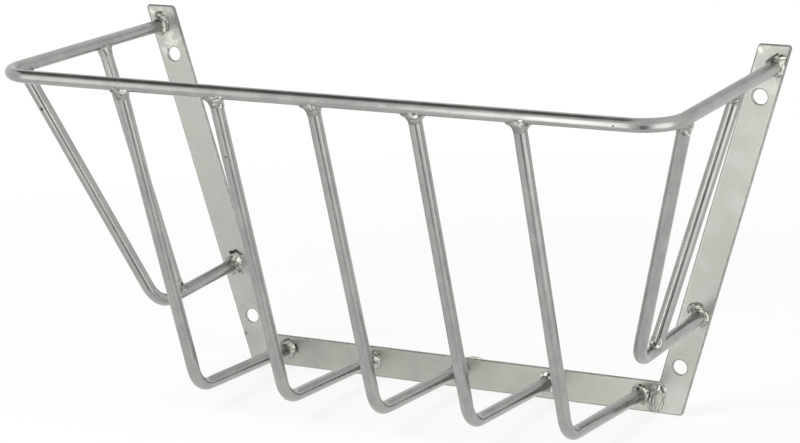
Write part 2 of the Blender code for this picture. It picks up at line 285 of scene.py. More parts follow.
def corner_arc(before, corner, after, radius, arc_step=BEND_STEP):
    """Points of the arc that rounds a corner, from one tangent point to the other."""
    back = (before - corner).normalized()
    ahead = (after - corner).normalized()
    turn = math.pi - back.angle(ahead)
    reach = radius * math.tan(turn / 2)
    centre = corner + (back + ahead).normalized() * (radius / math.cos(turn / 2))
    start = corner + back * reach - centre
    axis = back.cross(ahead).normalized()
    steps = max(3, round(turn / arc_step))
    return [centre + Matrix.Rotation(-turn * i / steps, 3, axis) @ start for i in range(steps + 1)]


def bend_reach(before, corner, after, radius):
    """How far from its corner a bend ends."""
    turn = math.pi - (before - corner).angle(after - corner)
    return radius * math.tan(turn / 2)


def bent_path(corners, radius):
    """A rod's centre line: straight runs joined by bends, with points all along it."""
    points = [corners[0]]
    for before, corner, after in zip(corners, corners[1:], corners[2:]):
        points += corner_arc(before, corner, after, radius)
    points.append(corners[-1])
    filled = [points[0]]
    for start, end in zip(points, points[1:]):
        steps = max(1, round((end - start).length / STRAIGHT_STEP))
        filled += [start.lerp(end, i / steps) for i in range(1, steps + 1)]
    return filled


def rim_corners():
    """Left foot, left corner, right corner and right foot of the rim's centre line."""
    foot_x = strap_outer_x(RIM_HEIGHT) - ARM_EDGE_INSET
    corner_x = foot_x + RIM_FLARE
    return [
        at_depth(-foot_x, 0, RIM_HEIGHT),
        at_depth(-corner_x, RIM_DEPTH, RIM_HEIGHT),
        at_depth(corner_x, RIM_DEPTH, RIM_HEIGHT),
        at_depth(foot_x, 0, RIM_HEIGHT),
    ]


def arm_point(side, depth):
    """The point on the centre line of one arm of the rim, at a depth."""
    corners = rim_corners()
    foot, corner = (corners[3], corners[2]) if side > 0 else (corners[0], corners[1])
    return foot.lerp(corner, depth / RIM_DEPTH)


def front_bar_corners(number):
    """Top, knee and foot of a front bar's centre line, numbered from the left."""
    foot_half_span = strap_inner_x(FRONT_FOOT_HEIGHT) - FRONT_BAR_MARGIN
    share = 2 * (number - 1) / (FRONT_BAR_COUNT - 1) - 1
    foot_x = share * foot_half_span
    top_x = share * (foot_half_span + FRONT_BAR_FAN)
    return [
        at_depth(top_x, RIM_DEPTH, RIM_HEIGHT),
        at_depth(foot_x, FRONT_KNEE_DEPTH, FRONT_KNEE_HEIGHT),
        at_depth(foot_x, 0, FRONT_FOOT_HEIGHT),
    ]


def corner_bar_corners(side):
    """Top, knee and foot of a corner bar's centre line."""
    sizes = bpy.context.scene.hay_rack_sizes
    rim = rim_corners()
    bend_end = bend_reach(rim[1], rim[2], rim[3], sizes.rim_bend_radius)
    foot_x = strap_centre_x(CORNER_FOOT_HEIGHT) + CORNER_FOOT_OFFSET
    return [
        arm_point(side, RIM_DEPTH - bend_end - CORNER_TOP_MARGIN),
        at_depth(side * (foot_x - CORNER_KNEE_INSET), CORNER_KNEE_DEPTH, CORNER_KNEE_HEIGHT),
        at_depth(side * foot_x, 0, CORNER_FOOT_HEIGHT),
    ]


def side_bar_ends(side):
    """Top, on the rim's arm, and foot, on the corner bar's lower run."""
    sizes = bpy.context.scene.hay_rack_sizes
    top, knee, foot = corner_bar_corners(side)
    run = foot - knee
    reach = bend_reach(top, knee, foot, sizes.bar_bend_radius) + SIDE_FOOT_MARGIN
    return [arm_point(side, SIDE_TOP_DEPTH), knee + run.normalized() * reach]


def seam_middle(side):
    """The middle of the bead over a seam, a little out from the side strap's inner edge."""
    return at_depth(side * (strap_inner_x(0) + SEAM_SHIFT), 0, 0)


# Meshes

def placed(name, data):
    """A new object in the scene for a mesh, a lamp or a camera."""
    thing = bpy.data.objects.new(name, data)
    bpy.context.scene.collection.objects.link(thing)
    return thing


def new_mesh(name, work):
    """A mesh made from finished work."""
    mesh = bpy.data.meshes.new(name)
    work.to_mesh(mesh)
    work.free()
    return mesh


def smooth_mesh(name, work):
    """A mesh made from finished work, faced outwards and shaded smooth."""
    bmesh.ops.recalc_face_normals(work, faces=work.faces)
    mesh = new_mesh(name, work)
    mesh.shade_smooth()
    return mesh


def new_piece(name, mesh, material, slot, *nodes):
    """Links a finished mesh, rides it on the frame and lets it stand for its nodes."""
    piece = placed(name, mesh)
    mesh.materials.clear()
    mesh.materials.append(material)
    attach(piece, BODY)
    if nodes:
        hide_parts(*nodes)
    return piece


def bridged(work, loops, flip=False):
    """Faces between each loop of points and the next."""
    faces = []
    for low, high in zip(loops, loops[1:]):
        for k in range(len(low)):
            n = (k + 1) % len(low)
            quad = (low[k], low[n], high[n], high[k])
            faces.append(work.faces.new(reversed(quad) if flip else quad))
    return faces


def swept_rod(name, path, diameter, sides, shift):
    """A round rod along a path, with the place of each point on the straight stock kept.

    The section is a little oval in the bends, as bent rod is, and its skin waves by a few
    hundredths of a millimetre.
    """
    radius = diameter / 2
    work = bmesh.new()
    stock = work.verts.layers.float_vector.new("stock_place")
    rings = []
    run = 0.0
    side_way = (path[1] - path[0]).normalized().orthogonal().normalized()
    for i, point in enumerate(path):
        before = path[max(i - 1, 0)]
        after = path[min(i + 1, len(path) - 1)]
        ahead = (after - before).normalized()
        run += (point - before).length
        side_way = (side_way - ahead * side_way.dot(ahead)).normalized()
        up_way = ahead.cross(side_way)
        inward = Vector()
        if 0 < i < len(path) - 1:
            bend = (after - point).normalized() - (point - before).normalized()
            if bend.length > LEAST_BEND:
                inward = bend.normalized()
        ring = []
        for k in range(sides):
            angle = math.tau * k / sides
            out = side_way * math.cos(angle) + up_way * math.sin(angle)
            wave = noise.noise(Vector((run * SKIN_WAVES + shift, out.x * 1.5, out.z * 1.5)))
            squeeze = 1 - BEND_FLATTENING * abs(out.dot(inward))
            vertex = work.verts.new(point + out * (radius * squeeze + wave * SKIN_WAVE_DEPTH))
            vertex[stock] = Vector((run + shift, math.cos(angle) * radius, math.sin(angle) * radius))
            ring.append(vertex)
        rings.append(ring)
    bridged(work, rings)
    work.faces.new(rings[0])
    work.faces.new(reversed(rings[-1]))
    return smooth_mesh(name, work)


def inset_outline(corners, radii, inset):
    """A rounded outline moved in by an inset, with the same points for any inset."""
    moved = []
    count = len(corners)
    for i, corner in enumerate(corners):
        before = (corner - corners[i - 1]).normalized()
        after = (corners[(i + 1) % count] - corner).normalized()
        inward_a = Vector((-before.z, 0, before.x))
        inward_b = Vector((-after.z, 0, after.x))
        bisector = inward_a + inward_b
        moved.append(corner + bisector * (inset * 2 / bisector.length_squared))
    points = []
    for i, (corner, radius) in enumerate(zip(moved, radii)):
        points += corner_arc(moved[i - 1], corner, moved[(i + 1) % count],
                             max(radius - inset, LEAST_CORNER), CORNER_STEP)
    return points


def strap_mesh(name, corners, radii, holes):
    """Flat strap on the wall: rolled edges, rounded corners and drilled holes.

    Corners run anticlockwise seen from the front. The edge share kept on each point is 1 on
    the rolled edges and falls to 0 on the flat.
    """
    sizes = bpy.context.scene.hay_rack_sizes
    thick = sizes.strap_thickness
    edge_round = sizes.strap_edge_round
    angles = [math.pi / 2 * i / EDGE_STEPS for i in range(EDGE_STEPS + 1)]
    rolled = [(edge_round * (1 - math.cos(angle)), edge_round * (1 - math.sin(angle))) for angle in angles]
    # inset from the edge, height from the back and edge share, from the front flat to the back
    rows = [(inset, thick, share) for inset, share in EDGE_FADE]
    rows += [(inset, thick - down, 1.0) for inset, down in reversed(rolled)]
    rows += [(inset, up, 1.0) for inset, up in rolled]
    rows += [(inset, 0, share) for inset, share in reversed(EDGE_FADE)]
    work = bmesh.new()
    edge_share = work.verts.layers.float.new("edge_share")

    def wall(outline_at, flip=False):
        loops = []
        for inset, height, share in rows:
            loop = [work.verts.new((point.x, -height, point.z)) for point in outline_at(inset)]
            for vertex in loop:
                vertex[edge_share] = share
            loops.append(loop)
        bridged(work, loops, flip)
        return loops[0], loops[-1]

    walls = [wall(lambda inset: inset_outline(corners, radii, inset))]
    for centre, radius in holes:
        walls.append(wall(lambda inset: [centre + ray(math.tau * k / HOLE_FACETS) * (radius + inset)
                                         for k in range(HOLE_FACETS)], flip=True))
    for ends in zip(*walls):
        edges = [work.edges.get(pair) for loop in ends for pair in zip(loop, loop[1:] + loop[:1])]
        bmesh.ops.triangle_fill(work, use_beauty=True, edges=edges)
    return smooth_mesh(name, work)


# Weld beads: dabs of metal, run together and crinkled

# Folds of a bead's skin to a metre, then how much finer its fine folds and its ridges are and
# how much they add to the folds. A ridge stands proud where it is over its level.
FOLD_SCALE = 330
FINE_FOLDS = 2.9
FINE_SHARE = 0.35
RIDGES = 1.4
RIDGE_SHARE = 0.7
RIDGE_LEVEL = 0.6

# Rounds of smoothing after the dabs have run together, after the crinkling and for the slack
# skin that tells how deep a fold is, and the depth of a full crevice
DAB_ROUNDS = 3
CRINKLE_ROUNDS = 1
SLACK_ROUNDS = 14
CREVICE_DEPTH = 0.00025

# A stroke's dabs: their spacing and how uneven they are, as shares of half its width. Its tint
# fades out between two more such shares, and on a strap's face its edge wanders a little.
DAB_SPACING = 0.5
DAB_UNEVEN = 0.12
TINT_EDGES = (0.55, 1.25)
WANDER_SCALE = 500
TINT_WANDER = 0.0003

# How far a saddle's fillet stands off its bar and widens towards the other rod, the shares of
# the rod's radius at which it starts to close in the other rod and ends there, and its width at
# that end. Its rings crowd, and its second fillet curves, by a power.
SADDLE_SKIN = 0.00015
SADDLE_WIDENING = 0.0005
SADDLE_CLOSING = 1.05
SADDLE_TOP = 0.35
SADDLE_TOP_WIDTH = 0.84
SADDLE_CROWDING = 0.85
SADDLE_CURVE = 1.6

# How thick a saddle's strokes are and how far out its raised strokes, painted as highlights, and its folds
# lie
SADDLE_STROKE_THICK = 0.0004
SADDLE_GLINT_RISE = 0.0001
SADDLE_FOLD_RISE = -0.0002

# The painted shade on a saddle against its carrier's way, where it flares wide there and where
# it doesn't, and how far the painted shade reaches
WIDE_FLARE = 0.7
WIDE_SADDLE_SHADE = -0.36
NARROW_SADDLE_SHADE = -0.1
SADDLE_SHADE_REACH = 0.004

# The first seed of each kind of bead
SADDLE_SEED = 101
COLLAR_SEED = 200
SEAM_SEED = 300
SPATTER_SEED = 400

# The drop on the cross strap's upper edge, across and out, and the barb outside a bar's knee,
# with the way to it from the rod's middle, and half of each one's sizes
DROP_PLACE = (0.0138, -0.0012)
DROP_SIZE = (0.0070, 0.0009, 0.0019)
BARB_BAR = 2
BARB_WAY = (-0.55, -0.15, -0.82)
BARB_SIZE = (0.0006, 0.0006, 0.0012)

# A collar's fillet as shares of its leg and lifts off the strap, and how ragged it is. Below it
# are ripples, told in degrees and half sizes away from the rod, round it and off the strap, and
# a drip, told between two angles and in half sizes across, off the strap and up.
COLLAR_PROFILE = ((0.92, -0.0008), (0.84, 0.0004), (0.55, 0.0014), (0.20, 0.0022), (0.0, 0.0030))
COLLAR_RAGGED = 0.14
RIPPLE_COUNT = 8
FIRST_RIPPLE = -45
RIPPLE_TURN = -16
RIPPLE_JITTER = 4
RIPPLE_SIZE = (0.0013, 0.0008, 0.0012)
DRIP_ANGLES = (-88, -66)
DRIP_SIZE = (0.0015, 0.0016, 0.0015)

# Where a collar's strokes lie: off the strap, and higher within a reach of the rod. Then how
# thick plain mounds, flakes painted as highlights and folds are, and how far out from there they lie.
STROKE_LIFT = 0.0010
STROKE_CLIMB = 0.0020
CLIMB_REACH = 0.0022
COLLAR_MOUND = (0.0010, -0.0009)
COLLAR_GLINT = (0.0007, -0.0002)
COLLAR_FOLD = (0.0006, -0.0006)

# A seam's puddle: the share of the straps' lean that it follows, how far inside the strap's
# edges it ends, how much it closes in there, how deep it lies and how thick its strokes are
SEAM_LEAN_SHARE = 0.8
SEAM_END_INSET = 0.0009
SEAM_CLOSING = 0.38
SEAM_DEPTH = 0.0004
SEAM_MOUND_THICK = 0.0009
SEAM_GLINT_THICK = 0.0007
SEAM_STROKE_RISE = 0.0003
STRAND_HALF_WIDE = 0.00215
STRAND_DAB_REACH = 0.0014
STRAND_WANDER = 0.00025

# Its strands: place as a share of its half width, from the cross strap's side, height, and
# reach as a share of half the strap's width
SEAM_STRANDS = (
    (-0.82, 0.0003, 0.90),
    (-0.50, 0.0007, 0.97),
    (-0.18, 0.0007, 1.0),
    (0.14, 0.0008, 0.99),
    (0.48, 0.0006, 0.95),
    (0.80, 0.0003, 0.90),
)


def dab(work, centre, radii, axes):
    """One dab of weld metal, an oval lump."""
    turn = Matrix([list(axis.normalized()) for axis in axes]).transposed().to_4x4()
    size = Matrix.Diagonal((*radii, 1))
    place = Matrix.Translation(centre) @ turn @ size
    bmesh.ops.create_icosphere(work, subdivisions=2, radius=1, matrix=place)


def lofted(work, rings):
    """A closed lump through a stack of rings of points."""
    loops = [[work.verts.new(point) for point in ring] for ring in rings]
    faces = bridged(work, loops)
    faces.append(work.faces.new(reversed(loops[0])))
    faces.append(work.faces.new(loops[-1]))
    bmesh.ops.recalc_face_normals(work, faces=faces)


def joined(name, work, grain):
    """The dabs as one closed skin, cut in cells of the grain's size."""
    rough = new_mesh(name, work)
    lump = placed(name, rough)
    remesh = lump.modifiers.new("run_together", "REMESH")
    remesh.mode = "VOXEL"
    remesh.voxel_size = grain
    depsgraph = bpy.context.evaluated_depsgraph_get()
    mesh = bpy.data.meshes.new_from_object(lump.evaluated_get(depsgraph))
    bpy.data.objects.remove(lump, do_unlink=True)
    bpy.data.meshes.remove(rough)
    mesh.name = name
    return mesh


def settle(skin, rounds, factor):
    """Smooths a skin's points, a number of rounds by a factor."""
    for _ in range(rounds):
        bmesh.ops.smooth_vert(skin, verts=skin.verts, factor=factor,
                              use_axis_x=True, use_axis_y=True, use_axis_z=True)


def crinkled(skin, depth, seed):
    """Moves a skin's points out and in by folds, fine folds and ridges."""
    drift = Vector((seed * 0.37, seed * 0.11, -seed * 0.23))
    moves = []
    for vertex in skin.verts:
        place = vertex.co * FOLD_SCALE + drift
        fold = noise.noise(place)
        fine = noise.noise(place * FINE_FOLDS)
        ridge = 1 - 2 * abs(noise.noise(place * RIDGES + Vector((7, 3, 1))))
        lift = fold + FINE_SHARE * fine + RIDGE_SHARE * (ridge - RIDGE_LEVEL)
        moves.append(vertex.normal * depth * lift)
    for vertex, move in zip(skin.verts, moves):
        vertex.co += move


def run_together(name, work, grain, crinkle, seed, tint_at):
    """Joins the dabs into one bead and crinkles its skin.

    Each point keeps how deep in a fold it lies, from -1 on a ridge to 1, and a tint, from -1
    for dark painted shade with some soot to 1 for a painted highlight.
    """
    mesh = joined(name, work, grain)
    skin = bmesh.new()
    skin.from_mesh(mesh)
    settle(skin, DAB_ROUNDS, 0.5)
    skin.normal_update()
    crinkled(skin, crinkle, seed)
    settle(skin, CRINKLE_ROUNDS, 0.4)
    skin.normal_update()
    slack = skin.copy()
    settle(slack, SLACK_ROUNDS, 0.5)
    crevice = skin.verts.layers.float.new("crevice")
    tint = skin.verts.layers.float.new("tint")
    for vertex, loose in zip(skin.verts, slack.verts):
        vertex[crevice] = (loose.co - vertex.co).dot(vertex.normal) / CREVICE_DEPTH
        vertex[tint] = tint_at(vertex.co)
    slack.free()
    skin.to_mesh(mesh)
    skin.free()
    mesh.shade_smooth()
    return mesh


def step(value, low, high):
    """A smooth step from 0 at low to 1 at high."""
    share = min(max((value - low) / (high - low), 0.0), 1.0)
    return share * share * (3 - 2 * share)


# Ridges, folds and flakes of the saddle welds as strokes: a tint, from -1 for dark painted shade
# with some soot to 1 for a painted highlight, half the width, and the points from the joint's
# middle, all in millimetres.
SADDLE_STROKES = {
    "weld_front_bar_1_to_rim": (
        (0.55, 1.4, ((3.6, -3.5, -3.8), (7.6, -3.6, -3.6))),
        (0.55, 1.4, ((4.0, -2.9, -4.8), (5.2, -1.6, -4.9))),
        (-0.6, 0.5, ((0.9, -4.0, -5.3), (2.5, -2.8, -7.5), (4.7, -0.8, -7.5), (5.6, 2.4, -5.8))),
        (0.35, 0.6, ((-2.7, -4.8, -1.7), (-0.3, -4.7, -3.4), (1.2, -3.8, -5.7))),
        (0.3, 0.5, ((1.0, -3.2, -7.9), (2.2, -2.5, -9.0))),
        (-0.35, 0.4, ((0.5, -4.6, -2.3), (2.2, -4.0, -4.3))),
    ),
    "weld_front_bar_2_to_rim": (
        (0.95, 0.9, ((4.3, -1.9, -5.5), (6.0, -2.9, -4.3), (8.2, -4.4, -2.6))),
        (0.35, 0.9, ((2.4, -4.1, -3.6), (5.2, -4.6, -2.2))),
        (-0.5, 0.6, ((4.3, -1.6, -6.7), (5.3, 0.4, -6.4))),
        (-0.45, 0.6, ((-0.5, -3.2, -8.0), (3.1, -2.8, -6.3))),
        (0.5, 0.6, ((1.3, -2.8, -8.6), (3.0, -2.2, -8.4))),
        (0.9, 0.6, ((5.2, 0.8, -9.1), (4.9, 0.9, -11.7))),
        (0.5, 0.4, ((5.3, 4.9, -9.1), (5.5, 4.5, -11.6))),
        (-0.6, 0.5, ((5.5, 2.2, -10.1), (5.4, 2.2, -11.9))),
        (-0.3, 0.5, ((1.4, -4.0, -5.1), (3.7, -2.9, -4.5))),
    ),
    "weld_front_bar_3_to_rim": (
        (0.55, 0.6, ((3.8, -2.7, -4.7), (4.0, -2.3, -5.1))),
        (0.55, 0.6, ((3.4, -2.1, -7.5), (3.6, -1.8, -7.8))),
        (-0.4, 0.6, ((2.4, -3.5, -5.2), (2.4, -3.0, -6.9))),
        (-0.35, 0.6, ((6.2, -2.7, -4.3), (5.3, 0.6, -7.2))),
        (-0.3, 0.5, ((4.9, 0.3, -9.0), (5.0, 0.9, -10.5))),
    ),
    "weld_front_bar_4_to_rim": (
        (0.5, 0.5, ((1.5, -4.7, -2.0), (2.7, -4.7, -1.9))),
        (-0.5, 0.6, ((1.4, -4.5, -3.3), (3.1, -3.5, -4.1))),
        (1.0, 1.1, ((3.6, -2.7, -5.5), (5.2, -1.2, -5.0))),
        (0.8, 0.5, ((5.6, -4.5, -2.4), (5.0, -2.9, -4.2))),
        (-0.8, 0.6, ((4.7, -0.7, -6.8), (7.6, -2.5, -4.4))),
        (0.4, 0.6, ((0.7, -2.9, -8.7), (3.5, -1.6, -8.8))),
    ),
    "weld_front_bar_5_to_rim": (
        (1.0, 1.0, ((2.5, -4.6, -2.1), (4.4, -4.7, -1.9))),
        (0.85, 0.7, ((3.6, -3.8, -3.4), (3.9, -2.9, -4.2))),
        (-0.35, 0.5, ((-2.8, -4.5, -2.3), (1.1, -4.8, -2.7))),
        (-0.25, 0.5, ((4.1, -1.8, -6.1), (7.6, -4.4, -2.6))),
        (-0.25, 0.4, ((1.6, -3.0, -7.8), (3.1, -2.2, -7.9))),
    ),
    "weld_right_corner_bar_to_rim": (
        (0.5, 0.6, ((3.1, -0.4, -6.7), (3.0, 0.8, -7.8))),
        (0.9, 0.6, ((0.4, -1.9, -9.0), (1.3, 1.5, -12.2))),
        (-0.75, 0.7, ((-1.7, -2.2, -9.9), (-0.8, -1.3, -11.3))),
    ),
    "weld_left_side_bar_to_rim": (
        (-0.4, 0.6, ((4.6, -6.6, -2.0), (4.3, -4.6, -3.0))),
        (0.5, 0.7, ((4.0, -7.2, -2.9), (3.1, -5.4, -4.0))),
    ),
    "weld_right_side_bar_to_rim": (
        (0.5, 0.6, ((0.3, -5.0, -8.4), (1.1, -4.6, -7.7))),
        (-0.3, 0.5, ((0.0, -5.4, -6.2), (1.6, -6.4, -5.2))),
    ),
    "weld_left_side_bar_to_corner_bar": (
        (0.35, 0.7, ((5.5, 1.2, 8.9), (4.0, 5.0, 7.4))),
        (-0.95, 1.0, ((3.0, -0.2, 8.8), (3.5, -0.5, 7.0))),
        (0.75, 0.8, ((4.6, -1.1, 3.3), (6.0, 0.0, 3.6))),
        (-0.4, 0.6, ((3.4, 6.6, 5.0), (2.9, 8.4, 4.8))),
    ),
    "weld_right_side_bar_to_corner_bar": (
        (-1.0, 0.9, ((1.9, -5.3, 6.9), (2.2, -5.3, 5.0))),
        (0.7, 0.7, ((3.6, -4.9, 4.5), (5.5, -3.8, 5.0), (6.8, -3.2, 7.4))),
        (0.5, 0.6, ((-2.9, -3.5, 4.7), (-0.5, -4.6, 7.5))),
        (-0.55, 0.4, ((2.6, -8.5, 4.0), (2.2, -7.3, 4.4))),
    ),
}

# How far each front bar's saddle flares to the left and to the right, as shares of the full
# flare, and how far a corner bar's flares to the front and to the wall. A side bar's are told
# against and along its carrier.
FRONT_FLARES = ((0.75, 0.35), (1.0, 0.45), (1.0, 0.50), (1.0, 0.80), (1.0, 1.0))
CORNER_FLARES = (0.45, 0.85)
SIDE_TOP_FLARES = (0.50, 0.30)
SIDE_FOOT_FLARES = (0.30, 0.45)


def in_metres(strokes, hand=1):
    """Strokes told in millimetres, with their points as vectors in metres.

    A point of two numbers lies on the strap's face. A hand of -1 mirrors the strokes.
    """
    def vector(point):
        depth = point[1] if len(point) == 3 else 0
        return Vector((point[0] * hand, depth, point[-1])) / 1000

    return [(tint, half_wide / 1000, [vector(point) for point in points])
            for tint, half_wide, points in strokes]


def stroke_dabs(work, origin, points, half_wide, thick, rise, seed, out_at):
    """Dabs along a stroke, each lifted by rise and flattened to thick along its way out."""
    for first, last in zip(points, points[1:]):
        count = max(round((last - first).length / (half_wide * DAB_SPACING)), 1)
        for k in range(count + 1):
            place = first.lerp(last, k / count)
            out = out_at(place)
            side = out.orthogonal().normalized()
            size = half_wide * (1 + DAB_UNEVEN * math.sin(9 * k + seed))
            dab(work, origin + place + out * rise, (size, thick, size), (side, out, out.cross(side)))


def stroke_tint(strokes, place, base=0.0):
    """The tint that the strokes leave at a place; later strokes lie over earlier ones."""
    shown = base
    for tint, half_wide, points in strokes:
        if tint == 0:
            continue
        gap = 1.0
        for first, last in zip(points, points[1:]):
            way = last - first
            share = min(max((place - first).dot(way) / way.length_squared, 0.0), 1.0)
            gap = min(gap, (place - first - way * share).length)
        shown += (tint - shown) * (1 - step(gap, *[half_wide * edge for edge in TINT_EDGES]))
    return shown


def wandering_tint(strokes, middle):
    """A bead's tint by its strokes on a strap's face, whose edges wander a little."""
    def tint_at(point):
        spot = point * WANDER_SCALE
        wander = Vector((noise.noise(spot), 0, noise.noise(spot + Vector((5, 5, 5)))))
        place = Vector((point.x - middle.x, 0, point.z - middle.z))
        return stroke_tint(strokes, place + wander * TINT_WANDER)

    return tint_at


def saddle_rings(joint, up, along, flares):
    """Rings of a saddle weld's fillet, from its toe down the bar to its top in the other rod."""
    sizes, welds = sizes_and_welds()
    radius = sizes.rod_diameter / 2
    bar_reach = radius + SADDLE_SKIN
    square = (along - up * along.dot(up)).normalized()
    across = up.cross(square)
    top = radius * SADDLE_TOP
    low = radius + welds.saddle_toe
    rings = []
    for i in range(SADDLE_RINGS):
        drop = low + (top - low) * (i / (SADDLE_RINGS - 1)) ** SADDLE_CROWDING
        rise = min((low - drop) / welds.saddle_toe, 1.0)
        fillets = (1 - math.sqrt(max(1 - rise ** 2, 0.0)), rise ** SADDLE_CURVE)
        sink = step(drop, radius * SADDLE_CLOSING, top)
        half_wide = (bar_reach + SADDLE_WIDENING * rise) * (1 - sink) + radius * SADDLE_TOP_WIDTH * sink
        long_axis = square.lerp(along, rise).normalized()
        centre = joint - up * drop
        ring = []
        for k in range(BEAD_FACETS):
            angle = math.tau * k / BEAD_FACETS
            hand = 0 if math.cos(angle) < 0 else 1
            half_long = bar_reach + welds.saddle_flare * flares[hand] * fillets[hand]
            ring.append(centre + long_axis * half_long * math.cos(angle)
                        + across * half_wide * math.sin(angle))
        rings.append(ring)
    return rings


def saddle_mesh(name, joint, bar_direction, carrier_direction, seed, flares):
    """Fillet where a bar's end meets the side of another rod, with its strokes over it.

    bar_direction points up the bar to the joint. flares are the shares of the full flare
    against and along the carrier's direction.
    """
    welds = bpy.context.scene.hay_rack_welds
    up = bar_direction.normalized()
    along = carrier_direction.normalized()
    work = bmesh.new()
    lofted(work, saddle_rings(joint, up, along, flares))
    strokes = in_metres(SADDLE_STROKES.get(name, ()))
    for tint, half_wide, points in strokes:
        rise = SADDLE_GLINT_RISE if tint > 0 else SADDLE_FOLD_RISE
        stroke_dabs(work, joint, points, half_wide, SADDLE_STROKE_THICK, rise, seed,
                    lambda place: (place - up * place.dot(up)).normalized())
    # painted shade over the saddle's side against its carrier's way, with the strokes laid over it
    smut_and_shade = WIDE_SADDLE_SHADE if flares[0] > WIDE_FLARE else NARROW_SADDLE_SHADE

    def tint_at(point):
        base = smut_and_shade * (1 - step((point - joint).dot(along), 0.0, SADDLE_SHADE_REACH))
        return stroke_tint(strokes, point - joint, base)

    return run_together(name, work, welds.grain, welds.saddle_crinkle, seed, tint_at)
